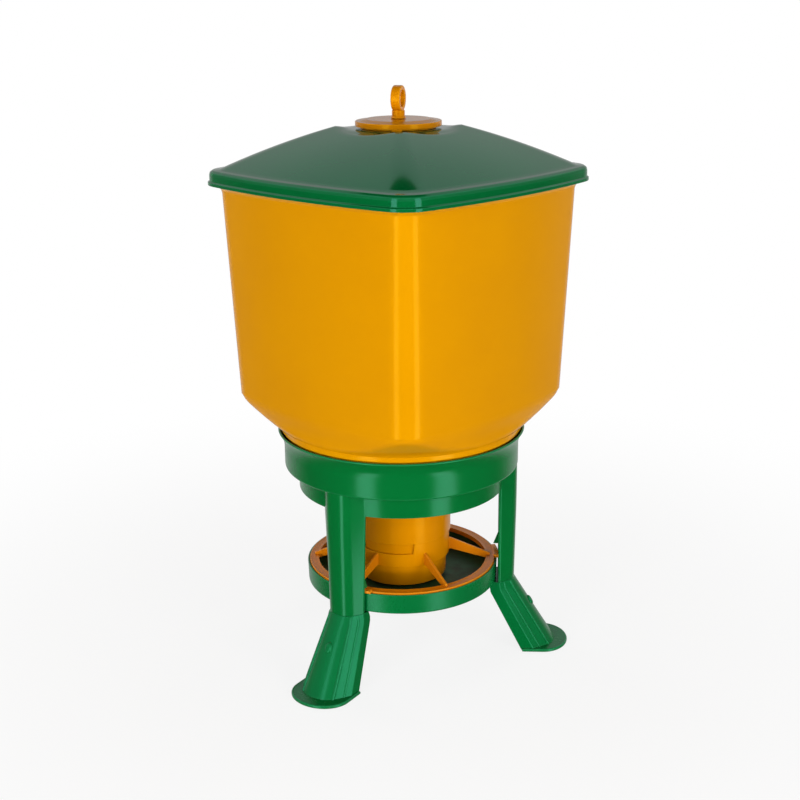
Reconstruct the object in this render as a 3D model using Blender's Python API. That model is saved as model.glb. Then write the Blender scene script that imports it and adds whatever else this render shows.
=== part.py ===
"""Poultry feeder: lidded square hopper in a three-legged ring, above a spoked feed grid and a tray.

All sizes are in metres. The vertical axis of the feeder is Z, the floor is at zero, and the four
corners of the hopper and of the lid lie on the X and Y axes.
"""
import math

import bmesh
import bpy
from mathutils import Matrix, Vector

# Clearances
SEAT_GAP = 0.0003
SLIDE_GAP = 0.001
TURN_GAP = 0.0005
PLUG_GAP = 0.0004

# Points on round pieces, and the bearings in degrees of the points of a square ring
ROUND_POINTS = 48
SMALL_POINTS = 24
CORNER_STEP = 2.5
CORNER_POINTS = 3
SIDE_START = 15
SIDE_STEP = 10
ARC_STEPS = 4

# Legs: three posts moulded to the ring, each standing on a plug-in foot
LEG_COUNT = 3
LEG_TURN = -4.96
FOOT_HEIGHT = 0.0892
FOOT_WALL = 0.003
FOOT_PLATE = 0.004
FOOT_SHOULDER_INNER = 0.113
FOOT_ELBOW_INNER = 0.1106
FOOT_ELBOW_DROP = 0.0096
FOOT_BASE_INNER = 0.1527
FOOT_BASE_OUTER = 0.197
FOOT_BASE_FACE_HALF = 0.017
FOOT_FLANK_SHARE = 0.36
PLUG_HEIGHT = 0.022
RIDGE_WIDTH = 0.003
RIDGE_HEIGHT = 0.0012
RIDGE_PLACES = (0.3, 0.72)
LATCH_LENGTH = 0.0125
LATCH_WIDTH = 0.009
LATCH_HEIGHT = 0.0022
LATCH_DROP = 0.034
LATCH_CROWN = 0.6
PAD_THICKNESS = 0.003
PAD_HALF = 0.0382
PAD_STRAIGHT_END = 0.179
PAD_NOSE = 0.0324
POST_HEIGHT = 0.1265
POST_WALL = 0.0025
POST_INNER = 0.1217
POST_FLANK = 0.124
POST_OUTER_BASE = 0.142
POST_OUTER_TOP = 0.1437
POST_HALF_BASE = 0.0244
POST_HALF_TOP = 0.029
POST_FACE_HALF = 0.012
POST_STRAIGHT_FROM = 0.026
GUSSET_REACH = 0.006
GUSSET_HEIGHT = 0.019
GUSSET_RISE = 0.0325
GUSSET_THICKNESS = 0.0015
GUSSET_INSET = 0.0005

# Ring that carries the hopper
RING_WALL = 0.0025
BAND_RADIUS = 0.1275
BAND_HEIGHT = 0.028
RING_RADIUS = 0.1445
RING_WALL_HEIGHT = 0.026
LIP_ARC = 0.0318
LIP_SWEEP = 40

# Square hopper with a round neck
HOPPER_WALL = 0.003
SIDE_BOW = 0.84
HOPPER_TOP_HALF = 0.1646
HOPPER_TOP_CORNER = 0.029
HOPPER_BASE_HALF = 0.1558
HOPPER_BASE_CORNER = 0.034
HOPPER_WALL_HEIGHT = 0.244
TURN_HEIGHT = 0.038
TURN_SIDE_HEIGHT = 0.028
TURN_FOOT_HALF = 0.1498
TURN_FOOT_RADIUS = 0.148
TURN_SLOPE = 35
TURN_ROUNDING = 0.006
TURN_STEPS_OUTSIDE = 6
TURN_STEPS_INSIDE = 3
TURN_LIFT = 0.0045
NECK_GAP = 0.0025
RIM_OVERHANG = 0.0067
RIM_TUCK = 0.0012
RIM_BEND = 0.0055
RIM_FOOT = 0.0035
RIM_HEIGHT = 0.014
FUNNEL_SLOPE = 39
SPOUT_LENGTH = 0.022

# Outlet tube on the funnel's spout
TUBE_WALL = 0.0025
TUBE_RADIUS = 0.061
TUBE_SHOULDER_DROP = 0.0175
TUBE_LOWER_RADIUS = 0.0565
TUBE_END_RADIUS = 0.055
FEED_GAP = 0.0063
TOOTH_WIDTH = 12

# Tray
TRAY_WALL = 0.0022
TRAY_BASE_RADIUS = 0.1192
TRAY_RIM_RADIUS = 0.12
TRAY_HEIGHT = 0.025
TRAY_EDGE = 0.002
CONE_RADIUS = 0.044
CONE_HEIGHT = 0.022
CONE_TIP_RADIUS = 0.006

# Feed grid on the tray's rim
GRID_TURN = -3.5
SPOKE_COUNT = 6
SPOKE_THICKNESS = 0.003
SPOKE_DEPTH_IN = 0.016
SPOKE_DEPTH_OUT = 0.009
SPOKE_REST = 0.0055
SPOKE_PROUD = 0.002
SPOKE_RISE = 0.004
GRID_INNER = 0.1059
GRID_DEPTH = 0.0058
GRID_PROUD = 0.002
GRID_LIP = 0.0015
GRID_WEB = 0.002
GRID_GROOVE = 0.0014
COLLAR_WALL = 0.0023
COLLAR_DEPTH = 0.017
STEP_HEIGHT = 0.0133
STEP_FROM = -143.5
STEP_WIDTH = 70
STEP_SLANT = 2
STEP_COUNT = 2
TOOTH_LEAD = 1.5
LUG_REACH = 0.0049
LUG_HEIGHT = 0.0035
LUG_FROM = -2.5
LUG_TO = 14.6

# Hipped lid; its skirt goes round the hopper's rim with LID_FIT to spare
LID_WALL = 0.0025
LID_FIT = 0.0037
LID_HALF = HOPPER_TOP_HALF + RIM_OVERHANG + LID_FIT + LID_WALL
LID_CORNER = 0.036
LID_INSET = 0.011
LID_SHOULDER = 0.005
LID_BEND = 0.0015
LID_BEND_DROP = 0.0045
LID_EDGE_RISE = 0.0037
SKIRT_TOP_DROP = 0.009
SKIRT_DEPTH = 0.0143
LIP_FLARE = 0.002
LIP_DEPTH = 0.005
LIP_TIP = 0.0018
ROOF_SLOPE = 0.175
ROOF_CURVE = 0.625
ROOF_STEPS_OUTSIDE = 5
ROOF_STEPS_INSIDE = 3
CROWN_RADIUS = 0.0735
DISH_RADIUS = 0.053
DISH_DROP = 0.0025
LID_HOLE = 0.0302

# Cap in the lid's centre, with its lock ring
CAP_RADIUS = 0.0503
CAP_EDGE = 0.006
CAP_EDGE_ROUND = 0.0009
CAP_PLATE = 0.0055
CAP_PLATEAU = 0.038
CAP_SLOPE_END = 0.0455
CAP_PLATEAU_RISE = 0.002
CAP_SEAT_RADIUS = 0.044
CAP_SEAT_HEIGHT = 0.0022
CAP_TAB_RADIUS = 0.0495
CAP_TAB_BEARING = -94
CAP_TAB_HALF_ANGLE = 7
SPIGOT_WALL = 0.0035
SPIGOT_LENGTH = 0.0135
LOCK_RING_WIDTH = 0.0105
LOCK_RING_HEIGHT = 0.008

# Hanging eye with its washer and nut
EYE_TURN = 72
EYE_RADIUS = 0.0122
EYE_SECTION = 0.0027
EYE_HALF_WIDTH = 0.0055
EYE_CHAMFER = 0.0014
EYE_LIFT = 0.0231
EYE_STEPS = 20
NECK_RADIUS = 0.0075
NECK_HEIGHT = 0.0075
NECK_TOP_RADIUS = 0.0065
NECK_FOOT_RADIUS = 0.0088
NECK_FOOT_HEIGHT = 0.0022
SHANK_RADIUS = 0.006
SHANK_TAIL = 0.003
WASHER_RADIUS = 0.012
WASHER_THICKNESS = 0.0016
NUT_FLATS = 0.019
NUT_HEIGHT = 0.01

# Levels that follow from the sizes above
POST_FOOT_Z = FOOT_HEIGHT + SEAT_GAP
RING_FOOT_Z = POST_FOOT_Z + POST_HEIGHT
STEP_Z = RING_FOOT_Z + BAND_HEIGHT
LEDGE_Z = STEP_Z + RING_WALL
LIP_START_Z = STEP_Z + RING_WALL_HEIGHT
HOPPER_SEAT_Z = LEDGE_Z + SEAT_GAP
TRAY_Z = FOOT_HEIGHT + SEAT_GAP
TRAY_RIM_Z = TRAY_Z + TRAY_HEIGHT
GRID_TOP_Z = TRAY_RIM_Z + GRID_PROUD


def offset_path(path, distance):
    """Open flat path moved to its left by a distance, with mitred bends."""
    points = [Vector(point) for point in path]
    sides = []
    for start, end in zip(points, points[1:]):
        along = (end - start).normalized()
        sides.append(Vector((-along.y, along.x)))
    moved = []
    for index, point in enumerate(points):
        before = sides[max(index - 1, 0)]
        after = sides[min(index, len(sides) - 1)]
        mitre = (before + after).normalized()
        moved.append(tuple(point + mitre * (distance / mitre.dot(before))))
    return moved


def arc(centre, radius, start, end, steps):
    """Points on an arc in a flat profile, both ends included."""
    turns = [math.radians(start + (end - start) * step / steps) for step in range(steps + 1)]
    return [(centre[0] + radius * math.cos(turn), centre[1] + radius * math.sin(turn)) for turn in turns]


def polar(radius, degrees, height):
    """Point at a distance from the axis, a bearing and a height."""
    turn = math.radians(degrees)
    return (radius * math.cos(turn), radius * math.sin(turn), height)


def skin(name, rings, closed):
    """One closed body through rings of equal count; a ring of one point is a pole."""
    mesh = bpy.data.meshes.new(name)
    builder = bmesh.new()
    rows = [[builder.verts.new(point) for point in ring] for ring in rings]
    pairs = list(zip(rows, rows[1:]))
    if closed:
        pairs.append((rows[-1], rows[0]))
    for lower, upper in pairs:
        count = max(len(lower), len(upper))
        for index in range(count):
            following = (index + 1) % count
            corners = [lower[index % len(lower)], lower[following % len(lower)],
                       upper[following % len(upper)], upper[index % len(upper)]]
            builder.faces.new(list(dict.fromkeys(corners)))
    if not closed:
        for row in (rows[0], rows[-1]):
            if len(row) > 2:
                builder.faces.new(row)
    bmesh.ops.recalc_face_normals(builder, faces=builder.faces)
    builder.to_mesh(mesh)
    builder.free()
    shape = bpy.data.objects.new(name, mesh)
    bpy.context.scene.collection.objects.link(shape)
    return shape


def round_bearings(points):
    return [360 * index / points for index in range(points)]


def turned(name, profile, points=ROUND_POINTS, closed=True):
    """Body of revolution; the profile lists distance from the axis and height."""
    rings = []
    for radius, height in profile:
        bearings = round_bearings(points) if radius > 0 else [0]
        rings.append([polar(radius, bearing, height) for bearing in bearings])
    return skin(name, rings, closed)


def prism(name, sections):
    """Solid lofted through flat outlines; each section is a height and its outline points."""
    return skin(name, [[(x, y, height) for x, y in outline] for height, outline in sections], False)


def sector(name, section, start, end):
    """Part of a ring: a closed section of radii and heights swept between two bearings."""
    steps = math.ceil((end - start) * ROUND_POINTS / 360)
    bearings = [start + (end - start) * step / steps for step in range(steps + 1)]
    return skin(name, [[polar(radius, bearing, height) for radius, height in section]
                       for bearing in bearings], False)


def place(shape, matrix):
    """Move the points of a solid and leave its origin on the axis of the feeder."""
    shape.data.transform(matrix)
    return shape


def turn(degrees):
    return Matrix.Rotation(math.radians(degrees), 4, 'Z')


def join(base, others):
    """Fuse solids that are one moulding into the first of them."""
    for other in others:
        union = base.modifiers.new("union", 'BOOLEAN')
        union.operation = 'UNION'
        union.solver = 'EXACT'
        union.object = other
    graph = bpy.context.evaluated_depsgraph_get()
    fused = bpy.data.meshes.new_from_object(base.evaluated_get(graph))
    base.modifiers.clear()
    base.data = fused
    for other in others:
        bpy.data.objects.remove(other)
    return base


def finish(shape, surface):
    """Give a piece its material and smooth shading with crisp edges."""
    shape.data.materials.clear()
    shape.data.materials.append(surface)
    shape.data.shade_smooth()
    shape.data.set_sharp_from_angle(angle=math.radians(32))
    return shape


def material(name, colour, roughness, metallic=0.0):
    surface = bpy.data.materials.new(name)
    surface.use_nodes = True
    shader = surface.node_tree.nodes["Principled BSDF"]
    shader.inputs["Base Color"].default_value = (*colour, 1.0)
    shader.inputs["Roughness"].default_value = roughness
    shader.inputs["Metallic"].default_value = metallic
    return surface


def square_radius(bearing, half, corner):
    """Distance from the axis to a square with bowed sides and rounded corners."""
    turned_by = abs(math.radians(bearing % 90 - 45))
    cosine = math.cos(turned_by)
    sine = math.sin(turned_by)
    shift = half - SIDE_BOW
    span = SIDE_BOW - corner
    corner_place = (shift + math.sqrt(2 * span * span - shift * shift)) / 2
    meeting = math.atan2(corner_place, corner_place - shift)
    meeting_bearing = math.atan2(SIDE_BOW * math.sin(meeting), shift + SIDE_BOW * math.cos(meeting))
    if turned_by <= meeting_bearing:
        return shift * cosine + math.sqrt(SIDE_BOW ** 2 - (shift * sine) ** 2)
    across = corner_place * (cosine - sine)
    return corner_place * (cosine + sine) + math.sqrt(corner ** 2 - across ** 2)


def square_bearings():
    """Bearings shared by all rings of the hopper and the lid, close together at the corners."""
    bearings = []
    for corner in range(0, 360, 90):
        bearings += [corner + step * CORNER_STEP for step in range(-CORNER_POINTS, CORNER_POINTS + 1)]
        bearings += range(corner + SIDE_START, corner + 90 - SIDE_START + 1, SIDE_STEP)
    return bearings


def square_ring(half, corner, height):
    return [polar(square_radius(bearing, half, corner), bearing, height) for bearing in square_bearings()]


def round_ring(radius, height):
    return [polar(radius, bearing, height) for bearing in square_bearings()]


# Ring and posts

def ring_path():
    """Outer profile of the ring from the foot of its band to its lip."""
    lip_centre = (RING_RADIUS + LIP_ARC, LIP_START_Z)
    lip = arc(lip_centre, LIP_ARC, 180, 180 - LIP_SWEEP, ARC_STEPS)
    return [(BAND_RADIUS, RING_FOOT_Z), (BAND_RADIUS, STEP_Z), (RING_RADIUS, STEP_Z)] + lip


def channel(inner, flank, outer, half, face_half, wall):
    """Outline of a post or foot: a channel open towards the feeder's axis."""
    path = channel_path(inner, flank, outer, half, face_half)
    return path + offset_path(path, wall)[::-1]


def channel_path(inner, flank, outer, half, face_half):
    return [(inner, -half), (flank, -half), (outer, -face_half),
            (outer, face_half), (flank, half), (inner, half)]


def post_outline(share):
    """Channel of a post; the share runs from nought at its foot to one at the ring."""
    half = POST_HALF_BASE + (POST_HALF_TOP - POST_HALF_BASE) * share
    straight_share = 1 - POST_STRAIGHT_FROM / POST_HEIGHT
    outer_share = min(1, share / straight_share)
    outer = POST_OUTER_BASE + (POST_OUTER_TOP - POST_OUTER_BASE) * outer_share
    return channel(POST_INNER, POST_FLANK, outer, half, POST_FACE_HALF, POST_WALL)


def post(name):
    straight_share = 1 - POST_STRAIGHT_FROM / POST_HEIGHT
    sections = [(POST_FOOT_Z + POST_HEIGHT * share, post_outline(share)) for share in (0, straight_share, 1)]
    sections.append((STEP_Z + RING_WALL / 2, post_outline(1)))
    return prism(name, sections)


def gusset(name):
    """Small rib on a post's flank, above the lug of the feed grid."""
    foot = POST_FOOT_Z + GUSSET_RISE
    share = GUSSET_RISE / POST_HEIGHT
    side = POST_HALF_BASE + (POST_HALF_TOP - POST_HALF_BASE) * share - GUSSET_INSET
    inner_side = side - GUSSET_THICKNESS
    root = POST_INNER + POST_WALL / 2
    triangle = [(POST_INNER - GUSSET_REACH, foot), (root, foot), (root, foot + GUSSET_HEIGHT)]
    return skin(name, [[(radial, across, height) for radial, height in triangle]
                       for across in (inner_side, side)], False)


def leg_bearings():
    return [LEG_TURN + 360 * leg / LEG_COUNT for leg in range(LEG_COUNT)]


def leg_ring():
    path = ring_path()
    base = turned("leg_ring", path + offset_path(path, RING_WALL)[::-1])
    parts = []
    for bearing in leg_bearings():
        parts.append(place(post("post"), turn(bearing)))
        parts.append(place(gusset("gusset"), turn(bearing)))
    return join(base, parts)


# Feet

def foot_section(height):
    """Sizes of the foot's channel at a height above the floor."""
    share = 1 - height / FOOT_HEIGHT
    elbow_height = FOOT_HEIGHT - FOOT_ELBOW_DROP
    if height >= elbow_height:
        rise = (height - elbow_height) / FOOT_ELBOW_DROP
        inner = FOOT_ELBOW_INNER + (FOOT_SHOULDER_INNER - FOOT_ELBOW_INNER) * rise
    else:
        inner = FOOT_BASE_INNER + (FOOT_ELBOW_INNER - FOOT_BASE_INNER) * height / elbow_height
    outer = POST_OUTER_BASE + (FOOT_BASE_OUTER - POST_OUTER_BASE) * share
    half = POST_HALF_BASE + (PAD_HALF - POST_HALF_BASE) * share
    face_half = POST_FACE_HALF + (FOOT_BASE_FACE_HALF - POST_FACE_HALF) * share
    flank = inner + (outer - inner) * FOOT_FLANK_SHARE
    return inner, flank, outer, half, face_half


def foot_shell(name):
    levels = [FOOT_HEIGHT, FOOT_HEIGHT - FOOT_ELBOW_DROP, PAD_THICKNESS / 2]
    return prism(name, [(level, channel(*foot_section(level), FOOT_WALL)) for level in levels])


def foot_plate(name):
    """Flat top of the foot, set in the middle of the channel's wall."""
    sections = []
    for level in (FOOT_HEIGHT, FOOT_HEIGHT - FOOT_PLATE):
        sections.append((level, offset_path(channel_path(*foot_section(level)), FOOT_WALL / 2)))
    return prism(name, sections)


def foot_plug(name):
    """Block that fills the lower end of the post's channel."""
    path = channel_path(POST_INNER, POST_FLANK, POST_OUTER_BASE, POST_HALF_BASE, POST_FACE_HALF)
    outline = offset_path(path, POST_WALL + PLUG_GAP)
    hollow = offset_path(path, POST_WALL + PLUG_GAP + FOOT_WALL)[::-1]
    top = FOOT_HEIGHT + PLUG_HEIGHT
    return prism(name, [(FOOT_HEIGHT - FOOT_PLATE / 2, outline + hollow), (top, outline + hollow)])


def foot_pad(name):
    outline = [(FOOT_BASE_INNER, PAD_HALF), (FOOT_BASE_INNER, -PAD_HALF)]
    for step in range(-90, 91, 15):
        turned_by = math.radians(step)
        outline.append((PAD_STRAIGHT_END + PAD_NOSE * math.cos(turned_by), PAD_HALF * math.sin(turned_by)))
    return prism(name, [(0, outline), (PAD_THICKNESS, outline)])


def foot_ridge(name, side, place_share):
    """Raised line along the slanting facet beside the foot's outer face."""
    rings = []
    for level in (FOOT_HEIGHT - RIDGE_WIDTH, FOOT_HEIGHT - FOOT_ELBOW_DROP, PAD_THICKNESS / 2):
        inner, flank, outer, half, face_half = foot_section(level)
        start = Vector((flank, half * side))
        along = Vector((outer, face_half * side)) - start
        middle = start + along * place_share
        along.normalize()
        outward = Vector((-along.y, along.x)) * side
        step = along * (RIDGE_WIDTH / 2)
        proud = outward * RIDGE_HEIGHT
        sunk = -outward * (FOOT_WALL / 2)
        corners = [middle - step + sunk, middle + step + sunk, middle + step + proud, middle - step + proud]
        rings.append([(corner.x, corner.y, level) for corner in corners])
    return skin(name, rings, False)


def foot_latch(name):
    """Low oval button on the foot's outer face."""
    level = FOOT_HEIGHT - LATCH_DROP
    outer = foot_section(level)[2]
    lean = math.atan2(FOOT_BASE_OUTER - POST_OUTER_BASE, FOOT_HEIGHT)
    rings = []
    for depth, share in ((-FOOT_WALL / 2, 1), (LATCH_HEIGHT / 2, 1), (LATCH_HEIGHT, LATCH_CROWN)):
        ring = []
        for step in range(0, 360, 30):
            turned_by = math.radians(step)
            ring.append((depth, LATCH_WIDTH / 2 * share * math.cos(turned_by),
                         LATCH_LENGTH / 2 * share * math.sin(turned_by)))
        rings.append(ring)
    latch = skin(name, rings, False)
    tilt = Matrix.Translation((outer, 0, level)) @ Matrix.Rotation(-lean, 4, 'Y')
    return place(latch, tilt)


def foot(name, bearing):
    parts = [foot_plate("plate"), foot_plug("plug"), foot_pad("pad"), foot_latch("latch")]
    for side in (-1, 1):
        parts += [foot_ridge("ridge", side, share) for share in RIDGE_PLACES]
    return place(join(foot_shell(name), parts), turn(bearing))


# Hopper

def spout_radius():
    return TUBE_RADIUS - TUBE_WALL - SEAT_GAP


def funnel_height(radius):
    """Underside of the funnel at a distance from the axis."""
    funnel_top = BAND_RADIUS - RING_WALL - SLIDE_GAP
    return HOPPER_SEAT_Z - (funnel_top - radius) * math.tan(math.radians(FUNNEL_SLOPE))


def neck_path():
    """Outer profile of the hopper's neck, which follows the ring's lip, then its funnel and its spout."""
    lip = offset_path(ring_path(), RING_WALL + NECK_GAP)[:2:-1]
    neck_radius = lip[-1][0]
    funnel_top = BAND_RADIUS - RING_WALL - SLIDE_GAP
    spout = spout_radius()
    spout_top = funnel_height(spout)
    return lip + [(neck_radius, HOPPER_SEAT_Z), (funnel_top, HOPPER_SEAT_Z), (spout, spout_top),
                  (spout, spout_top - SPOUT_LENGTH)]


def turn_foot_height():
    """The cone of the hopper ends just above the part of the neck that follows the ring's lip."""
    return neck_path()[0][1] + TURN_LIFT


def turn_ring(height, inset):
    """Outline of the hopper where its square walls turn in to the round neck."""
    foot_height = turn_foot_height()
    top_height = foot_height + TURN_HEIGHT
    share = min(1, max(0, (top_height - height) / TURN_SIDE_HEIGHT))
    eased = share * share * (3 - 2 * share)
    half = HOPPER_BASE_HALF + (TURN_FOOT_HALF - HOPPER_BASE_HALF) * eased - inset
    slope = math.tan(math.radians(TURN_SLOPE))
    cone = TURN_FOOT_RADIUS + (height - foot_height) / slope - inset / math.sin(math.radians(TURN_SLOPE))
    ring = []
    for bearing in square_bearings():
        square = square_radius(bearing, half, HOPPER_BASE_CORNER - inset)
        blend = math.hypot(square - cone, TURN_ROUNDING)
        ring.append(polar((square + cone - blend) / 2, bearing, height))
    return ring


def hopper_skin(inset, steps):
    """Rings of one side of the hopper's wall, from the rim down to the spout."""
    foot_height = turn_foot_height()
    top_height = foot_height + TURN_HEIGHT
    wall_top = top_height + HOPPER_WALL_HEIGHT
    first = foot_height + inset * math.sqrt(2)
    rings = [square_ring(HOPPER_TOP_HALF - inset, HOPPER_TOP_CORNER - inset, wall_top),
             square_ring(HOPPER_BASE_HALF - inset, HOPPER_BASE_CORNER - inset, top_height)]
    for step in range(1, steps + 1):
        level = top_height + (first - top_height) * step / steps
        rings.append(turn_ring(level, inset))
    return rings + [round_ring(radius, height) for radius, height in offset_path(neck_path(), -inset)]


def rim_height():
    return turn_foot_height() + TURN_HEIGHT + HOPPER_WALL_HEIGHT + RIM_FOOT + RIM_BEND + RIM_HEIGHT


def hopper():
    rim_top = rim_height()
    rim_half = HOPPER_TOP_HALF + RIM_OVERHANG
    rim_corner = HOPPER_TOP_CORNER + RIM_OVERHANG
    rim_foot = rim_top - RIM_HEIGHT
    rim = [square_ring(rim_half, rim_corner, rim_top), square_ring(rim_half, rim_corner, rim_foot),
           square_ring(HOPPER_TOP_HALF + RIM_TUCK, HOPPER_TOP_CORNER + RIM_TUCK, rim_foot - RIM_BEND)]
    inside_top = square_ring(HOPPER_TOP_HALF - HOPPER_WALL, HOPPER_TOP_CORNER - HOPPER_WALL, rim_top)
    outside = hopper_skin(0, TURN_STEPS_OUTSIDE)
    inside = hopper_skin(HOPPER_WALL, TURN_STEPS_INSIDE)
    rings = rim + outside + inside[1:][::-1] + [inside_top]
    return skin("hopper", rings, True)


# Outlet tube

def shoulder_height():
    """Underside of the step where the outlet tube narrows."""
    return funnel_height(spout_radius()) - SPOUT_LENGTH - TUBE_SHOULDER_DROP


def tube_end_height():
    return TRAY_Z + TRAY_WALL + FEED_GAP


def outlet_tube():
    shoulder = shoulder_height()
    end = tube_end_height()
    inner = TUBE_RADIUS - TUBE_WALL
    lower_inner = TUBE_LOWER_RADIUS - TUBE_WALL
    profile = [(TUBE_RADIUS, funnel_height(TUBE_RADIUS) - SEAT_GAP / math.cos(math.radians(FUNNEL_SLOPE))),
               (TUBE_RADIUS, shoulder), (TUBE_LOWER_RADIUS, shoulder),
               (TUBE_END_RADIUS, end), (TUBE_END_RADIUS - TUBE_WALL, end),
               (lower_inner, shoulder + TUBE_WALL), (inner, shoulder + 2 * TUBE_WALL),
               (inner, funnel_height(inner) - SEAT_GAP / math.cos(math.radians(FUNNEL_SLOPE)))]
    tube = turned("outlet_tube", profile)
    step_top = shoulder - STEP_HEIGHT
    block = [(TUBE_LOWER_RADIUS - TUBE_WALL / 2, step_top), (TUBE_RADIUS, step_top),
             (TUBE_RADIUS, shoulder + TUBE_WALL / 2), (TUBE_LOWER_RADIUS - TUBE_WALL / 2, shoulder + TUBE_WALL / 2)]
    start = tooth_bearing()
    return join(tube, [sector("tooth", block, start, start + TOOTH_WIDTH)])


# Feed grid and tray

def step_bearings():
    """Bearings at which each low step of the collar starts."""
    return [GRID_TURN + STEP_FROM + 360 * step / STEP_COUNT for step in range(STEP_COUNT)]


def tooth_bearing():
    """The tube's tooth stands in the low step at the back, next to its start."""
    return step_bearings()[-1] + STEP_SLANT + TOOTH_LEAD


def collar():
    """Sleeve round the outlet tube, with a top edge in two heights."""
    inner = TUBE_LOWER_RADIUS + TURN_GAP
    outer = inner + COLLAR_WALL
    high = shoulder_height() - SEAT_GAP
    low = high - STEP_HEIGHT
    foot_height = low - COLLAR_DEPTH
    heights = {}
    for start in step_bearings():
        end = start + STEP_WIDTH
        heights[start] = high
        heights[start + STEP_SLANT] = low
        heights[end - STEP_SLANT] = low
        heights[end] = high
        for bearing in round_bearings(ROUND_POINTS):
            shifted = start + (bearing - start) % 360
            if start + 2 * STEP_SLANT < shifted < end - 2 * STEP_SLANT:
                heights[shifted] = low
            elif end + STEP_SLANT < shifted < start + 360 / STEP_COUNT - STEP_SLANT:
                heights[shifted] = high
    wrapped = {round(bearing % 360, 4): height for bearing, height in heights.items()}
    rings = [[], [], [], []]
    for bearing in sorted(wrapped):
        corners = [(inner, foot_height), (outer, foot_height), (outer, wrapped[bearing]), (inner, wrapped[bearing])]
        for ring, (radius, height) in zip(rings, corners):
            ring.append(polar(radius, bearing, height))
    return skin("grid_collar", rings, True)


def spoke_bearings():
    return [GRID_TURN + 360 * index / SPOKE_COUNT for index in range(SPOKE_COUNT)]


def spoke(name, bearing):
    """Flat bar that falls from the collar to the ring of the grid."""
    start = TUBE_LOWER_RADIUS + TURN_GAP + COLLAR_WALL + SEAT_GAP
    end = GRID_INNER * math.cos(math.pi / ROUND_POINTS) - SEAT_GAP
    collar_top = shoulder_height() - SEAT_GAP - STEP_HEIGHT - TURN_GAP
    ring_top = GRID_TOP_Z + SPOKE_RISE
    ring_foot = max(GRID_TOP_Z - GRID_DEPTH + TURN_GAP, ring_top - SPOKE_DEPTH_OUT)
    stations = [(start, collar_top - SPOKE_DEPTH_IN, collar_top), (end, ring_foot, ring_top)]
    return place(bar(name, stations), turn(bearing))


def spoke_rest(name, bearing):
    """Rib on the ring of the grid where a spoke's end comes down."""
    floor = GRID_TOP_Z - GRID_GROOVE - GRID_WEB / 2
    stations = [(GRID_INNER + GRID_LIP / 4, floor, GRID_TOP_Z + SPOKE_RISE),
                (GRID_INNER + SPOKE_REST, floor, GRID_TOP_Z + SPOKE_PROUD)]
    return place(bar(name, stations), turn(bearing))


def bar(name, stations):
    """Flat upright bar through stations of distance from the axis, low edge and high edge."""
    side = SPOKE_THICKNESS / 2
    rings = [[(radius, -side, low), (radius, side, low), (radius, side, high), (radius, -side, high)]
             for radius, low, high in stations]
    return skin(name, rings, False)


def grid_outer():
    return TRAY_RIM_RADIUS - TRAY_WALL - TURN_GAP


def grid_ring(name):
    """Ring of the grid: a flat web between an inner and an outer lip."""
    outer = grid_outer()
    foot_height = GRID_TOP_Z - GRID_DEPTH
    groove = GRID_TOP_Z - GRID_GROOVE
    under = groove - GRID_WEB
    profile = [(GRID_INNER, foot_height), (GRID_INNER, GRID_TOP_Z), (GRID_INNER + GRID_LIP, GRID_TOP_Z),
               (GRID_INNER + 2 * GRID_LIP, groove), (outer - 2 * GRID_LIP, groove),
               (outer - GRID_LIP, GRID_TOP_Z), (outer, GRID_TOP_Z), (outer, foot_height),
               (outer - GRID_LIP, foot_height), (outer - 2 * GRID_LIP, under),
               (GRID_INNER + 2 * GRID_LIP, under), (GRID_INNER + GRID_LIP, foot_height)]
    return turned(name, profile)


def lug(name, bearing):
    """Tab of the grid that lies on the tray's rim beside a post."""
    outer = grid_outer()
    low = TRAY_RIM_Z + SEAT_GAP
    section = [(outer - GRID_LIP, low), (outer + LUG_REACH, low),
               (outer + LUG_REACH, low + LUG_HEIGHT), (outer - GRID_LIP, low + LUG_HEIGHT)]
    return sector(name, section, bearing + LUG_FROM, bearing + LUG_TO)


def feed_grid():
    parts = [spoke_rest("rest", bearing) for bearing in spoke_bearings()]
    parts += [lug("lug", bearing) for bearing in leg_bearings()]
    return join(grid_ring("feed_grid"), parts)


def tray():
    """Shallow dish with a cone in the middle that spreads the feed."""
    cone_top = TRAY_Z + CONE_HEIGHT
    edge = arc((TRAY_BASE_RADIUS - TRAY_EDGE, TRAY_Z + TRAY_EDGE), TRAY_EDGE, -90, 0, 2)
    path = [(0, cone_top), (CONE_TIP_RADIUS, cone_top), (CONE_RADIUS, TRAY_Z)] + edge
    path.append((TRAY_RIM_RADIUS, TRAY_RIM_Z))
    inner = offset_path(path, TRAY_WALL)
    inner[-1] = (TRAY_RIM_RADIUS - TRAY_WALL, TRAY_RIM_Z)
    return turned("tray", path + inner[::-1], ROUND_POINTS, False)


# Lid

def lid_seat():
    return rim_height() + SEAT_GAP


def roof_edge(bearing):
    return square_radius(bearing, LID_HALF - LID_INSET, LID_CORNER)


def roof_height(hip_distance):
    """Height of the roof along a hip, at a distance from the axis."""
    edge = roof_edge(0)
    fall = ROOF_SLOPE * (edge - hip_distance) + ROOF_CURVE * (edge ** 2 - hip_distance ** 2)
    return lid_seat() + LID_EDGE_RISE + fall


def roof_ring(share, drop):
    """Ring of the roof; the share runs from nought at the crown to one at the edge."""
    ring = []
    for bearing in square_bearings():
        edge = roof_edge(bearing)
        radius = CROWN_RADIUS + (edge - CROWN_RADIUS) * share
        hip_distance = radius * roof_edge(0) / edge
        ring.append(polar(radius, bearing, roof_height(hip_distance) - drop))
    return ring


def dish_height():
    """Top of the flat that carries the cap."""
    return roof_height(CROWN_RADIUS) - DISH_DROP


def skirt_ring(outset, height):
    return square_ring(LID_HALF + outset, LID_CORNER + outset, height)


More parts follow.
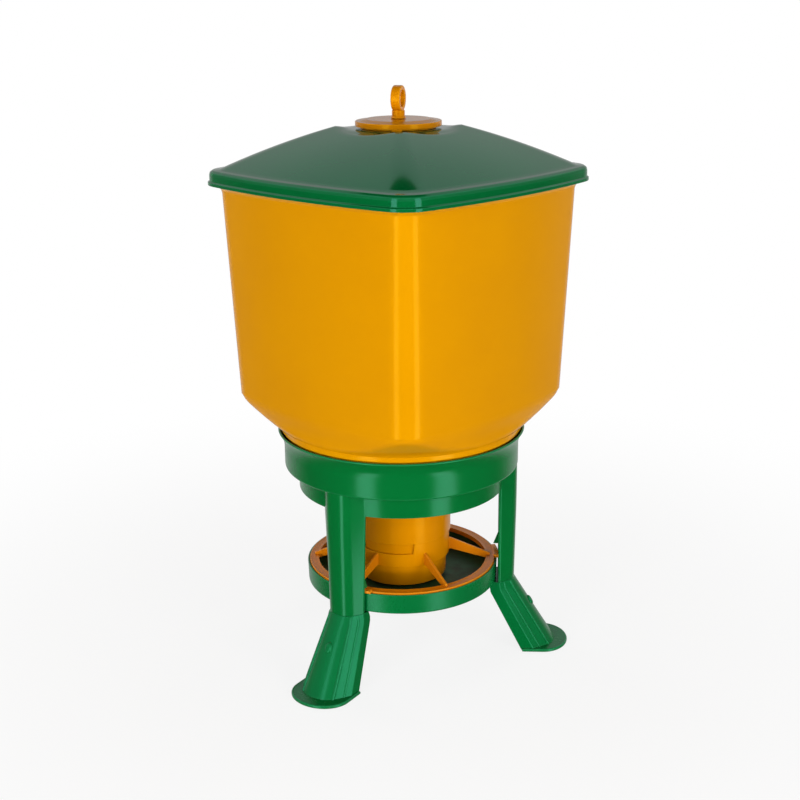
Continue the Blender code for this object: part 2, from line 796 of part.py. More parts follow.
def lid():
    seat = lid_seat()
    edge_height = roof_height(roof_edge(0))
    skirt_foot = seat - SKIRT_DEPTH
    dish = dish_height()
    outside = [round_ring(LID_HOLE, dish), round_ring(DISH_RADIUS, dish)]
    outside += [roof_ring(step / ROOF_STEPS_OUTSIDE, 0) for step in range(ROOF_STEPS_OUTSIDE + 1)]
    outside += [skirt_ring(-LID_SHOULDER, edge_height - LID_BEND),
                skirt_ring(-LID_BEND, edge_height - LID_BEND_DROP),
                skirt_ring(0, edge_height - SKIRT_TOP_DROP),
                skirt_ring(0, skirt_foot + LIP_DEPTH),
                skirt_ring(LIP_FLARE, skirt_foot + 2 * LIP_TIP),
                skirt_ring(LIP_FLARE, skirt_foot + LIP_TIP)]
    inside = [skirt_ring(LIP_FLARE - LIP_TIP, skirt_foot), skirt_ring(-LID_WALL, skirt_foot),
              skirt_ring(-LID_WALL, seat),
              square_ring(LID_HALF - LID_INSET, LID_CORNER, seat)]
    inside += [roof_ring(step / ROOF_STEPS_INSIDE, LID_WALL) for step in range(ROOF_STEPS_INSIDE)[::-1]]
    inside += [round_ring(DISH_RADIUS, dish - LID_WALL), round_ring(LID_HOLE, dish - LID_WALL)]
    return skin("lid", outside + inside, True)


# Cap, lock ring and hanging eye

def cap_foot():
    """Underside of the cap's disc."""
    return dish_height() + SEAT_GAP + CAP_SEAT_HEIGHT


def cap_top():
    return cap_foot() + CAP_EDGE + CAP_PLATEAU_RISE


def lid_cap():
    foot_height = cap_foot()
    edge_top = foot_height + CAP_EDGE
    top = cap_top()
    spigot = LID_HOLE - SLIDE_GAP
    spigot_foot = dish_height() - SPIGOT_LENGTH
    seat = dish_height() + SEAT_GAP
    hole = SHANK_RADIUS + TURN_GAP
    profile = [(hole, top), (CAP_PLATEAU, top), (CAP_SLOPE_END, edge_top),
               (CAP_RADIUS - CAP_EDGE_ROUND, edge_top), (CAP_RADIUS, edge_top - CAP_EDGE_ROUND),
               (CAP_RADIUS, foot_height), (CAP_SEAT_RADIUS, foot_height), (CAP_SEAT_RADIUS, seat),
               (spigot, seat), (spigot, spigot_foot), (spigot - SPIGOT_WALL, spigot_foot),
               (spigot - SPIGOT_WALL, top - CAP_PLATE), (hole, top - CAP_PLATE)]
    root = CAP_SEAT_RADIUS - CAP_SEAT_HEIGHT / 2
    lift = foot_height + CAP_SEAT_HEIGHT / 2
    tab = sector("tab", [(root, seat), (CAP_TAB_RADIUS, seat), (CAP_TAB_RADIUS, lift), (root, lift)],
                 CAP_TAB_BEARING - CAP_TAB_HALF_ANGLE, CAP_TAB_BEARING + CAP_TAB_HALF_ANGLE)
    return join(turned("lid_cap", profile), [tab])


def cap_lock_ring():
    inner = LID_HOLE - SLIDE_GAP + TURN_GAP
    outer = inner + LOCK_RING_WIDTH
    top = dish_height() - LID_WALL - SEAT_GAP
    foot_height = top - LOCK_RING_HEIGHT
    return turned("cap_lock_ring", [(inner, top), (outer, top), (outer, foot_height), (inner, foot_height)])


def washer_top():
    return cap_top() - CAP_PLATE - SEAT_GAP


def eye_washer():
    inner = SHANK_RADIUS + TURN_GAP
    top = washer_top()
    foot_height = top - WASHER_THICKNESS
    profile = [(inner, top), (WASHER_RADIUS, top), (WASHER_RADIUS, foot_height), (inner, foot_height)]
    return turned("eye_washer", profile, SMALL_POINTS)


def nut_top():
    return washer_top() - WASHER_THICKNESS - SEAT_GAP


def eye_nut():
    top = nut_top()
    foot_height = top - NUT_HEIGHT
    inner = SHANK_RADIUS + SEAT_GAP
    bearings = round_bearings(SMALL_POINTS)
    flats = [NUT_FLATS / 2 / math.cos(math.radians(bearing % 60 - 30)) for bearing in bearings]
    rings = []
    for height in (foot_height, top):
        rings.append([polar(radius, bearing, height) for radius, bearing in zip(flats, bearings)])
    for height in (top, foot_height):
        rings.append([polar(inner, bearing, height) for bearing in bearings])
    return skin("eye_nut", rings, True)


def eye_loop(name):
    """Upright flat ring of the hanging eye, with chamfered edges."""
    centre = cap_top() + EYE_LIFT
    flat = EYE_SECTION - EYE_CHAMFER
    side = EYE_HALF_WIDTH - EYE_CHAMFER
    section = [(EYE_SECTION, -side), (EYE_SECTION, side), (flat, EYE_HALF_WIDTH), (-flat, EYE_HALF_WIDTH),
               (-EYE_SECTION, side), (-EYE_SECTION, -side), (-flat, -EYE_HALF_WIDTH), (flat, -EYE_HALF_WIDTH)]
    rings = []
    for step in range(EYE_STEPS):
        around = 2 * math.pi * step / EYE_STEPS
        rings.append([((EYE_RADIUS + out) * math.cos(around), across,
                       centre + (EYE_RADIUS + out) * math.sin(around)) for out, across in section])
    return skin(name, rings, True)


def hanging_eye():
    base = cap_top() + SEAT_GAP
    neck_top = base + NECK_FOOT_HEIGHT + NECK_HEIGHT
    loop_foot = cap_top() + EYE_LIFT - EYE_RADIUS
    shank_foot = nut_top() - NUT_HEIGHT - SHANK_TAIL
    profile = [(0, shank_foot), (SHANK_RADIUS, shank_foot), (SHANK_RADIUS, base),
               (NECK_FOOT_RADIUS, base), (NECK_FOOT_RADIUS, base + NECK_FOOT_HEIGHT / 2),
               (NECK_RADIUS, base + NECK_FOOT_HEIGHT), (NECK_RADIUS, neck_top - (NECK_RADIUS - NECK_TOP_RADIUS)),
               (NECK_TOP_RADIUS, neck_top), (EYE_SECTION, loop_foot), (0, loop_foot)]
    shank = turned("hanging_eye", profile, SMALL_POINTS, False)
    return place(join(shank, [eye_loop("loop")]), turn(EYE_TURN))


def build():
    for old in list(bpy.data.objects):
        bpy.data.objects.remove(old)
    stand_green = material("stand_green", (0.0, 0.19, 0.045), 0.32)
    finish(leg_ring(), stand_green)
    for name, bearing in zip(("foot_right", "foot_back", "foot_front"), leg_bearings()):
        finish(foot(name, bearing), material(name + "_green", (0.0, 0.18, 0.042), 0.34))
    finish(hopper(), material("hopper_amber", (0.7, 0.3, 0.0), 0.3))
    finish(outlet_tube(), material("tube_amber", (0.68, 0.28, 0.0), 0.33))
    finish(feed_grid(), material("grid_amber", (0.66, 0.27, 0.01), 0.35))
    finish(collar(), material("collar_amber", (0.66, 0.27, 0.005), 0.34))
    for index, bearing in enumerate(spoke_bearings(), 1):
        name = f"grid_spoke_{index}"
        finish(spoke(name, bearing), material(name + "_amber", (0.66, 0.27, 0.01), 0.35))
    finish(tray(), material("tray_green", (0.0, 0.18, 0.045), 0.34))
    finish(lid(), material("lid_green", (0.0, 0.15, 0.035), 0.28))
    finish(lid_cap(), material("cap_amber", (0.64, 0.25, 0.005), 0.3))
    finish(cap_lock_ring(), material("lock_ring_green", (0.0, 0.14, 0.034), 0.36))
    finish(hanging_eye(), material("eye_amber", (0.68, 0.26, 0.0), 0.32))
    finish(eye_washer(), material("washer_steel", (0.6, 0.6, 0.62), 0.35, 1.0))
    finish(eye_nut(), material("nut_steel", (0.58, 0.58, 0.6), 0.32, 1.0))


build()
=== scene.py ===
# %% [markdown]
# # A poultry feeder in moulded plastic
# This notebook dresses a finished CAD model for its portrait. The model is the skeleton: it gives the
# place, size and motion of every piece. Everything is in metres, with the floor at zero.

# %% Load the frame
import math

import bmesh
import bpy
from mathutils import Matrix, Vector


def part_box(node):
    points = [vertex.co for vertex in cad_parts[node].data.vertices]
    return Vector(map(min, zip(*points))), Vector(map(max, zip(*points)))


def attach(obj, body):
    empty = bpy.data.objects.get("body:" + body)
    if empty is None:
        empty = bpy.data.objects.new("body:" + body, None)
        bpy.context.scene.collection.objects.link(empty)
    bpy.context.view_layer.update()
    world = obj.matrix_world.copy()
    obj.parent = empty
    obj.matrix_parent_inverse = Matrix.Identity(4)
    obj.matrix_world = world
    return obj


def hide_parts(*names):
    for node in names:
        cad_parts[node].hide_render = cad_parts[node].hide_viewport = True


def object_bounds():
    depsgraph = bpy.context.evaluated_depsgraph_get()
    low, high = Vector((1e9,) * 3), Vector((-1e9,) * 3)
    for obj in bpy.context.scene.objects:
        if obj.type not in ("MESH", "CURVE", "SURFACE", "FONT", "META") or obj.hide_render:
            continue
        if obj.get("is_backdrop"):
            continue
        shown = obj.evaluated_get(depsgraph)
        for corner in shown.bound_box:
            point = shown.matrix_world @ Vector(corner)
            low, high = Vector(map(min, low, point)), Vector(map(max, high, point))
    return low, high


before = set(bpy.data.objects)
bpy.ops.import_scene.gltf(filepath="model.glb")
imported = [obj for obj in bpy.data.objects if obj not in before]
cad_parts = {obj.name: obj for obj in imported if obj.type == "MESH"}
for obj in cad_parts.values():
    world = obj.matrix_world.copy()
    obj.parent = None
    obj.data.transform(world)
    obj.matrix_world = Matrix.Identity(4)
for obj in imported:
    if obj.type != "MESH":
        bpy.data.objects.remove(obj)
cad_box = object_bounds()
print("nodes:", sorted(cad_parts))

# %% [markdown]
# ## The camera
# The camera was found by measuring straight edges on the object and solving for the place that shows
# them so. It stands a little left of the front corner and looks down by seventeen degrees. It could be
# aimed at a target, but writing its three axes out keeps the very small roll that the lens had.

# %% Place the camera
CAMERA_PLACE = Vector((-0.0519, -1.598, 0.8168))
CAMERA_TURN = 0.0317
CAMERA_PITCH = 0.3005
CAMERA_ROLL = -0.0095
CAMERA_LENS = 61.244


def show(data, name):
    """Put a mesh, a lamp or a camera into the scene as an object."""
    piece = bpy.data.objects.new(name, data)
    bpy.context.scene.collection.objects.link(piece)
    return piece


ahead = Vector((math.sin(CAMERA_TURN) * math.cos(CAMERA_PITCH),
                math.cos(CAMERA_TURN) * math.cos(CAMERA_PITCH), -math.sin(CAMERA_PITCH)))
level = Vector((math.cos(CAMERA_TURN), -math.sin(CAMERA_TURN), 0))
upright = level.cross(ahead)
right = level * math.cos(CAMERA_ROLL) + upright * math.sin(CAMERA_ROLL)
up = upright * math.cos(CAMERA_ROLL) - level * math.sin(CAMERA_ROLL)

camera = show(bpy.data.cameras.new("camera"), "camera")
camera.matrix_world = Matrix((
    (right.x, up.x, -ahead.x, CAMERA_PLACE.x),
    (right.y, up.y, -ahead.y, CAMERA_PLACE.y),
    (right.z, up.z, -ahead.z, CAMERA_PLACE.z),
    (0, 0, 0, 1)))
camera.data.lens = CAMERA_LENS
camera.data.sensor_width = 36
camera.data.clip_start = 0.05
camera.data.clip_end = 100
bpy.context.scene.camera = camera
bpy.context.scene.view_settings.view_transform = "Standard"
print("camera distance from the axis:", round(CAMERA_PLACE.xy.length, 3))

# %% [markdown]
# ## Shader sums that read like sums
# A Math node does one sum, so a surface with several patterns soon needs dozens of them. They could be
# added one call at a time, but then the sum is hard to see. The small class below wraps a socket and
# adds the node for each operator, so that a pattern can be written as an ordinary expression. Every other
# node comes from `add_node`, which first sets the node up and then fills its sockets.

# %% Write node sums as expressions
def add_node(tree, kind, settings=None, sockets=None):
    """Add a node, set its properties first, then give its sockets values or links."""
    node = tree.nodes.new(kind)
    for name, value in (settings or {}).items():
        setattr(node, name, value)
    for name, value in (sockets or {}).items():
        socket = node.inputs[name]
        if isinstance(value, Wire):
            tree.links.new(value.socket, socket)
        else:
            socket.default_value = value
    return node


class Wire:
    """A node's output that can be added, multiplied and divided like a number."""

    def __init__(self, tree, socket):
        self.tree = tree
        self.socket = socket

    def sum(self, operation, *values):
        sockets = dict(enumerate(values))
        node = add_node(self.tree, "ShaderNodeMath", {"operation": operation}, sockets)
        return Wire(self.tree, node.outputs[0])

    def __add__(self, other):
        return self.sum("ADD", self, other)

    def __radd__(self, other):
        return self.sum("ADD", other, self)

    def __sub__(self, other):
        return self.sum("SUBTRACT", self, other)

    def __rsub__(self, other):
        return self.sum("SUBTRACT", other, self)

    def __mul__(self, other):
        return self.sum("MULTIPLY", self, other)

    def __rmul__(self, other):
        return self.sum("MULTIPLY", other, self)

    def __truediv__(self, other):
        return self.sum("DIVIDE", self, other)

    def __rtruediv__(self, other):
        return self.sum("DIVIDE", other, self)

    def __abs__(self):
        return self.sum("ABSOLUTE", self)

    def ramp(self, low, high, start=0.0, end=1.0):
        """Smooth step from start to end while this value runs from low to high."""
        node = add_node(self.tree, "ShaderNodeMapRange", {"interpolation_type": "SMOOTHSTEP"},
                        {"Value": self, "From Min": low, "From Max": high, "To Min": start, "To Max": end})
        return Wire(self.tree, node.outputs["Result"])


def output(tree, node, name=0):
    return Wire(tree, node.outputs[name])


def mix_colours(tree, share, first, second):
    """Blend two colours; the share is a wire or a number."""
    node = add_node(tree, "ShaderNodeMix", {"data_type": "RGBA"}, {"Factor": share, 6: first, 7: second})
    return output(tree, node, 2)


def new_surface(name, bare=False):
    """Material and its node tree; a bare one starts without the Principled shader."""
    surface = bpy.data.materials.new(name)
    surface.use_nodes = True
    if bare:
        surface.node_tree.nodes.clear()
    return surface, surface.node_tree


def screen_colour(red, green, blue):
    """Linear colour for shaders from the 0 to 255 values that a screen shows."""
    linear = []
    for value in (red, green, blue):
        share = value / 255
        linear.append(share / 12.92 if share <= 0.04045 else ((share + 0.055) / 1.055) ** 2.4)
    return (*linear, 1.0)


print("mid grey on screen is", round(screen_colour(128, 128, 128)[0], 3), "in a shader")

# %% [markdown]
# ## The studio
# A product picture on white is lit from nearly everywhere: pale walls give an even base, and two tall
# soft boxes in front draw the upright highlights on the rounded corners. Walls could be modelled, but
# the world does their work, with one brightness for each direction. In the gloss the low walls are dark
# on the camera's side and paler behind the feeder, the high walls are pale all round, and the ceiling is
# black, which gives the steep foot of the lid's front hip its one dark oval. Light Path sums let the
# camera see plain white instead.

# %% Build the walls and the ceiling
def studio_world():
    world = bpy.data.worlds.new("pale_studio")
    world.use_nodes = True
    tree = world.node_tree
    background = tree.nodes["Background"]
    rays = add_node(tree, "ShaderNodeLightPath")
    seen = output(tree, rays, "Is Camera Ray")
    mirrored = output(tree, rays, "Is Glossy Ray")
    direction = add_node(tree, "ShaderNodeTexCoord")
    split = add_node(tree, "ShaderNodeSeparateXYZ", None, {0: output(tree, direction, "Generated")})
    height = output(tree, split, "Z")
    low_walls = output(tree, split, "Y").ramp(0.2, 0.75, start=0.06, end=0.58)
    high_walls = height.ramp(0.3, 0.6, start=0.5, end=0.74)
    raised = height.ramp(0.0, 0.3)
    below_ceiling = height.ramp(0.774, 0.786, start=1.0, end=0.0)
    walls_in_gloss = (low_walls * (1 - raised) + high_walls * raised) * below_ceiling
    walls_on_matt = height.ramp(0.1, 0.75, start=0.97, end=0.16)
    strength = seen + mirrored * walls_in_gloss + (1 - seen - mirrored) * walls_on_matt
    background.inputs["Color"].default_value = (1, 1, 1, 1)
    tree.links.new(strength.socket, background.inputs["Strength"])
    bpy.context.scene.world = world
    return world


print("world:", studio_world().name)

# %% [markdown]
# ## The floor
# The floor keeps the feeder's soft shadow. A white plane would do, but it never renders quite white, so
# this one is pale matt paint near the feeder and turns into plain white further out, for the camera alone.

# %% Lay the floor
FLOOR_RADIUS = 8.0
FLOOR_COLOUR = (0.9, 0.9, 0.895, 1)


def polar(radius, degrees, height):
    turn = math.radians(degrees)
    return (radius * math.cos(turn), radius * math.sin(turn), height)


def floor_surface():
    """Pale matt floor that brightens to plain white for the camera, away from the feeder."""
    surface, tree = new_surface("floor_paint", True)
    place = add_node(tree, "ShaderNodeTexCoord")
    distance = add_node(tree, "ShaderNodeVectorMath", {"operation": "LENGTH"},
                        {0: output(tree, place, "Object")})
    far = output(tree, distance, "Value").ramp(0.25, 1.1, start=0.84, end=1.0)
    seen = output(tree, add_node(tree, "ShaderNodeLightPath"), "Is Camera Ray")
    paint = add_node(tree, "ShaderNodeBsdfDiffuse", None, {"Color": FLOOR_COLOUR})
    white = add_node(tree, "ShaderNodeEmission", None, {"Color": (1, 1, 1, 1), "Strength": 1.0})
    both = add_node(tree, "ShaderNodeMixShader", None,
                    {0: seen * far, 1: output(tree, paint, "BSDF"), 2: output(tree, white, "Emission")})
    add_node(tree, "ShaderNodeOutputMaterial", None, {"Surface": output(tree, both, "Shader")})
    return surface


floor_mesh = bpy.data.meshes.new("floor")
floor_points = [polar(FLOOR_RADIUS, bearing, 0) for bearing in range(0, 360, 5)]
floor_mesh.from_pydata(floor_points, [], [list(range(len(floor_points)))])
floor_mesh.materials.append(floor_surface())
floor = show(floor_mesh, "floor")
floor.visible_glossy = False
floor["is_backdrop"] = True
print("floor:", FLOOR_RADIUS * 2, "m across")

# %% [markdown]
# ## Soft boxes
# Each box is two things here. An area lamp gives the light that falls on the plastic, and a plain bright
# panel at the same bearing is what the gloss reflects. One lamp could do both, but splitting them sets
# the strength of the highlight without changing how bright the colours are.

# %% Hang the soft boxes
CAMERA_BEARING = math.degrees(math.atan2(CAMERA_PLACE.y, CAMERA_PLACE.x))
BOX_DISTANCE = 2.4
BOX_LOW, BOX_HIGH = -2.0, 1.5
BOX_AIM = 0.32


def area_lamp(name, place, width, height, watts, aim):
    """Wide lamp that looks at a height on the feeder's axis and shows in no reflection."""
    lamp = bpy.data.lights.new(name, "AREA")
    lamp.shape = "RECTANGLE"
    lamp.size = width
    lamp.size_y = height
    lamp.energy = watts
    holder = show(lamp, name)
    holder.location = place
    holder.rotation_euler = (Vector((0, 0, aim)) - holder.location).to_track_quat("-Z", "Y").to_euler()
    holder.visible_glossy = False
    holder.visible_camera = False
    print(name, watts, "W at", [round(value, 2) for value in place], "m")


def soft_box(name, turn, width, watts, glow):
    """A lamp and its bright panel, turned from the camera's bearing as seen from the feeder."""
    spot = Vector(polar(BOX_DISTANCE, CAMERA_BEARING + turn, 0))
    area_lamp(name, spot + Vector((0, 0, BOX_HIGH / 2)), width, BOX_HIGH, watts, BOX_AIM)
    side = Vector(polar(width / 2, CAMERA_BEARING + turn + 90, 0))
    mesh = bpy.data.meshes.new(name + "_panel")
    mesh.from_pydata([spot + side * across + Vector((0, 0, height)) for across, height in
                      ((-1, BOX_LOW), (1, BOX_LOW), (1, BOX_HIGH), (-1, BOX_HIGH))], [], [(0, 1, 2, 3)])
    glow_surface, tree = new_surface(name + "_glow", True)
    light = add_node(tree, "ShaderNodeEmission", None, {"Strength": glow})
    add_node(tree, "ShaderNodeOutputMaterial", None, {"Surface": output(tree, light, "Emission")})
    mesh.materials.append(glow_surface)
    panel = show(mesh, name + "_panel")
    panel.visible_camera = False
    panel.visible_diffuse = False
    panel.visible_shadow = False
    panel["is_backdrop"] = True


soft_box("left_box", turn=-34, width=0.76, watts=20.5, glow=3.0)
soft_box("right_box", turn=42, width=0.86, watts=20.5, glow=3.0)

# %% [markdown]
# ## Fills
# White paper on a studio table throws light back up under a product. One wide, weak lamp just above the
# floor does the same here, so that the hopper's neck and the feet don't sink into shade. Two more behind
# the feeder keep its back readable in the other views. All stay out of the gloss, where they would draw
# a line.

# %% Set the fills
FILL_AIM = 0.34

area_lamp("low_fill", (0, -1.5, 0.13), width=2.4, height=0.2, watts=9, aim=FILL_AIM)
area_lamp("back_fill_left", (-1.7, 1.7, 0.75), width=0.8, height=1.4, watts=12, aim=FILL_AIM)
area_lamp("back_fill_right", (1.7, 1.7, 0.75), width=0.8, height=1.4, watts=12, aim=FILL_AIM)

# %% [markdown]
# ## Moulded plastic
# Polypropylene straight from the mould is glossy but never perfect. Its skin has a faint orange peel,
# the wall sinks a little over thicker places, the pigment clouds slightly, and handling leaves fine
# scuffs. A picture could be wrapped round each piece, but patterns on the object's own coordinates need
# no unwrapping and stay put when a piece moves. Outer edges are painted a shade paler, partly as rubbed
# wear and partly as a painted highlight along the bends, from an attribute that each piece stores for
# how sharply it bends.

# %% Make the plastic skin
CLOUD_SCALE = 11


def noise(tree, place, scale, detail=2.0, roughness=0.5, distortion=0.0):
    node = add_node(tree, "ShaderNodeTexNoise", None,
                    {"Vector": place, "Scale": scale, "Detail": detail, "Roughness": roughness,
                     "Distortion": distortion})
    return output(tree, node, "Fac")


def moulded_plastic(name, colour, deep, pale, roughness, tint, wave, dust_height=0.0):
    """Glossy pigmented plastic; the tint colours its straight-on gloss, as deep pigment does."""
    surface, tree = new_surface(name)
    shader = tree.nodes["Principled BSDF"]
    colour, deep, pale = (screen_colour(*shade) for shade in (colour, deep, pale))
    place = output(tree, add_node(tree, "ShaderNodeTexCoord"), "Object")
    edge = output(tree, add_node(tree, "ShaderNodeAttribute", {"attribute_name": "edge"}), "Fac")
    cloud = noise(tree, place, CLOUD_SCALE, 3)
    sink = noise(tree, place, 26, 1)
    peel = noise(tree, place, 620, 2)
    speck = noise(tree, place, 260, 2, 0.7)
    hair = noise(tree, place, 46, 4, 0.55, 0.6)
    scuff = (1 - abs(hair - 0.5).ramp(0.0, 0.012)) * cloud.ramp(0.5, 0.7)
    body = mix_colours(tree, cloud.ramp(0.3, 0.75) * 0.75 + speck.ramp(0.5, 0.8) * 0.12, colour, deep)
    # Paler bends: partly rubbed wear, partly a painted highlight along the edges.
    wear_and_edge_highlight = mix_colours(tree, edge * 0.55 + scuff * 0.04, body, pale)
    gloss = roughness + (cloud - 0.5) * 0.08 + (speck - 0.5) * 0.04 + scuff * 0.04
    if dust_height:
        split = add_node(tree, "ShaderNodeSeparateXYZ", None, {0: place})
        dust = output(tree, split, "Z").ramp(0.0, dust_height, 1.0, 0.0) * speck.ramp(0.35, 0.7)
        wear_and_edge_highlight = mix_colours(tree, dust * 0.07, wear_and_edge_highlight, (0.3, 0.3, 0.25, 1))
        gloss = gloss + dust * 0.15
    height = sink * wave + peel * 0.018 + scuff * -0.02
    bump = add_node(tree, "ShaderNodeBump", None, {"Strength": 0.5, "Distance": 0.0006, "Height": height})
    shader.inputs["Specular Tint"].default_value = tint
    shader.inputs["IOR"].default_value = 1.49
    tree.links.new(wear_and_edge_highlight.socket, shader.inputs["Base Color"])
    tree.links.new(gloss.socket, shader.inputs["Roughness"])
    tree.links.new(bump.outputs["Normal"], shader.inputs["Normal"])
    return surface


print("the pigment clouds are about", round(1 / CLOUD_SCALE, 2), "m wide")

# %% [markdown]
# ## Pigments
# The feeder has two colours, but each moulding takes its pigment a little differently. One material for
# each colour would be shorter, but the pieces would look cut from one block. So each has a recipe: the
# main shade, a deeper one for the clouds, a paler one for the edges, which is partly wear and partly
# painted highlight, the roughness, the tint of the gloss, and how wavy the skin is. The feet also have a
# height up to which dust clings.

# %% Mix the pigments
GREEN = (0.3, 1.0, 0.8, 1)
AMBER = (1.0, 0.7, 0.03, 1)
FOOT_TINT = (0.18, 1.0, 0.7, 1)
LID_TINT = (0.3, 1.0, 0.95, 1)
GRID_TINT = (1.0, 0.8, 0.3, 1)
RECIPES = {
    "stand": ((0, 99, 40), (0, 94, 38), (34, 132, 80), 0.2, GREEN, 0.6),
    "foot": ((0, 100, 44), (0, 94, 41), (34, 130, 80), 0.22, FOOT_TINT, 0.6, 0.006),
    "tray": ((0, 103, 46), (0, 98, 43), (30, 130, 78), 0.28, GREEN, 0.6),
    "lid": ((0, 92, 42), (0, 87, 39), (36, 118, 76), 0.09, LID_TINT, 0.15),
    "hopper": ((207, 139, 0), (203, 135, 0), (226, 158, 8), 0.15, AMBER, 0.2),
    "tube": ((203, 129, 0), (196, 120, 0), (216, 146, 10), 0.25, AMBER, 0.6),
    "grid": ((208, 120, 6), (201, 111, 4), (220, 150, 40), 0.24, GRID_TINT, 0.6),
    "cap": ((197, 122, 2), (190, 114, 1), (216, 142, 20), 0.17, AMBER, 0.3),
    "eye": ((214, 131, 0), (207, 121, 0), (226, 152, 14), 0.22, AMBER, 0.5),
    "lock_ring": ((0, 94, 43), (0, 88, 40), (34, 120, 74), 0.34, GREEN, 0.5),
}
plastics = {name: moulded_plastic(name + "_plastic", *recipe) for name, recipe in RECIPES.items()}
print("plastics:", list(plastics))

# %% [markdown]
# ## Feed dust and painted shade in the tray
# A tray that has carried feed keeps a dull film on its floor. Here the film also stands in for the shade
# under the hopper, so it is partly feed dust and partly painted shade. It could be a thin piece of its
# own, but a film is only a change of colour and sheen, so it is laid over the plastic, and only inside a
# radius, so that the outside of the tray stays clean.

# %% Lay the feed dust and painted shade
DUST_AND_SHADE_EDGE = 0.1172


def feed_dust_and_painted_shade(surface):
    """Dark brownish film inside the tray, in uneven patches: partly feed dust, partly painted shade under
    the hopper.
    """
    tree = surface.node_tree
    shader = tree.nodes["Principled BSDF"]
    clean = Wire(tree, shader.inputs["Base Color"].links[0].from_socket)
    gloss = Wire(tree, shader.inputs["Roughness"].links[0].from_socket)
    place = output(tree, add_node(tree, "ShaderNodeTexCoord"), "Object")
    flat = add_node(tree, "ShaderNodeVectorMath", {"operation": "MULTIPLY"}, {0: place, 1: (1, 1, 0)})
    reach = add_node(tree, "ShaderNodeVectorMath", {"operation": "LENGTH"}, {0: output(tree, flat)})
    inside = output(tree, reach, "Value").ramp(DUST_AND_SHADE_EDGE, DUST_AND_SHADE_EDGE + 0.001, 1.0, 0.0)
    # Painted shade and feed dust: the tray floor darkens in patches towards a near black brown.
    dust_and_shade_film = inside * noise(tree, place, 60, 4).ramp(0.25, 0.8, 0.5, 0.95)
    dusty_and_shaded = mix_colours(tree, dust_and_shade_film, clean, (0.05, 0.042, 0.02, 1))
    tree.links.new(dusty_and_shaded.socket, shader.inputs["Base Color"])
    tree.links.new((gloss + dust_and_shade_film * 0.35).socket, shader.inputs["Roughness"])


feed_dust_and_painted_shade(plastics["tray"])
print("feed dust on", plastics["tray"].name)

# %% [markdown]
# ## Zinc on the hidden fastener
# The nut and washer under the cap are plain zinc plated steel. They could be one flat grey, but zinc is
# a dull metal with a cloudy bloom, so its roughness carries the look more than its colour does.

# %% Make the zinc
def zinc(name):
    surface, tree = new_surface(name)
    shader = tree.nodes["Principled BSDF"]
    place = output(tree, add_node(tree, "ShaderNodeTexCoord"), "Object")
    bloom = noise(tree, place, 240, 4)
    grain = noise(tree, place, 2400, 2)
    colour = mix_colours(tree, bloom.ramp(0.3, 0.7), (0.62, 0.63, 0.66, 1), (0.46, 0.47, 0.49, 1))
    bump = add_node(tree, "ShaderNodeBump", None, {"Strength": 0.3, "Distance": 0.00005, "Height": grain})
    shader.inputs["Metallic"].default_value = 1.0
    tree.links.new(colour.socket, shader.inputs["Base Color"])
    tree.links.new((0.28 + bloom * 0.22).socket, shader.inputs["Roughness"])
    tree.links.new(bump.outputs["Normal"], shader.inputs["Normal"])
    return surface


zinc_plate = zinc("zinc_plate")
print("metal:", zinc_plate.name)

# %% [markdown]
# ## Profiles, rings and skins
# Almost every piece of the feeder comes out of a turned or lofted mould. Such pieces could be modelled
# by hand, but a profile with rounded bends, swept through rings, keeps every size in sight. `rounded`
# softens the bends, `skin` joins the rings, and `gather` makes one moulding of several meshes.

# %% Draw profiles with soft bends
def between(start, end, share):
    """Value at a share of the way from start to end."""
    return start + (end - start) * share


def rounded(points, radii, steps=4, closed=True):
    """Profile whose bends are rounded by one radius for each point, or one for all."""
    if not isinstance(radii, (list, tuple)):
        radii = [radii] * len(points)
    soft = []
    count = len(points)
    for index, (point, radius) in enumerate(zip(points, radii)):
        corner = Vector(point)
        ends = not closed and index in (0, count - 1)
        if radius <= 0 or ends:
            soft.append(tuple(corner))
            continue
        before = Vector(points[index - 1]) - corner
        after = Vector(points[(index + 1) % count]) - corner
        half_angle = before.angle(after) / 2
        reach = min(radius / math.tan(half_angle), before.length * 0.48, after.length * 0.48)
        start = corner + before.normalized() * reach
        end = corner + after.normalized() * reach
        for step in range(steps + 1):
            share = step / steps
            bend = start * (1 - share) ** 2 + corner * (2 * share * (1 - share)) + end * share ** 2
            soft.append(tuple(bend))
    return soft


def offset_path(path, distance):
    """Open flat path moved to its left by a distance, with mitred bends."""
    points = [Vector(point) for point in path]
    sides = []
    for start, end in zip(points, points[1:]):
        along = (end - start).normalized()
        sides.append(Vector((-along.y, along.x)))
    moved_points = []
    for index, point in enumerate(points):
        before = sides[max(index - 1, 0)]
        after = sides[min(index, len(sides) - 1)]
        mitre = (before + after).normalized()
        moved_points.append(tuple(point + mitre * (distance / mitre.dot(before))))
    return moved_points


print("one bend in soft steps:", len(rounded([(0, 0), (0.01, 0), (0.01, 0.01)], 0.003, 4, False)), "points")

# %% Join rings into a skin
DOUBLES = 0.000002


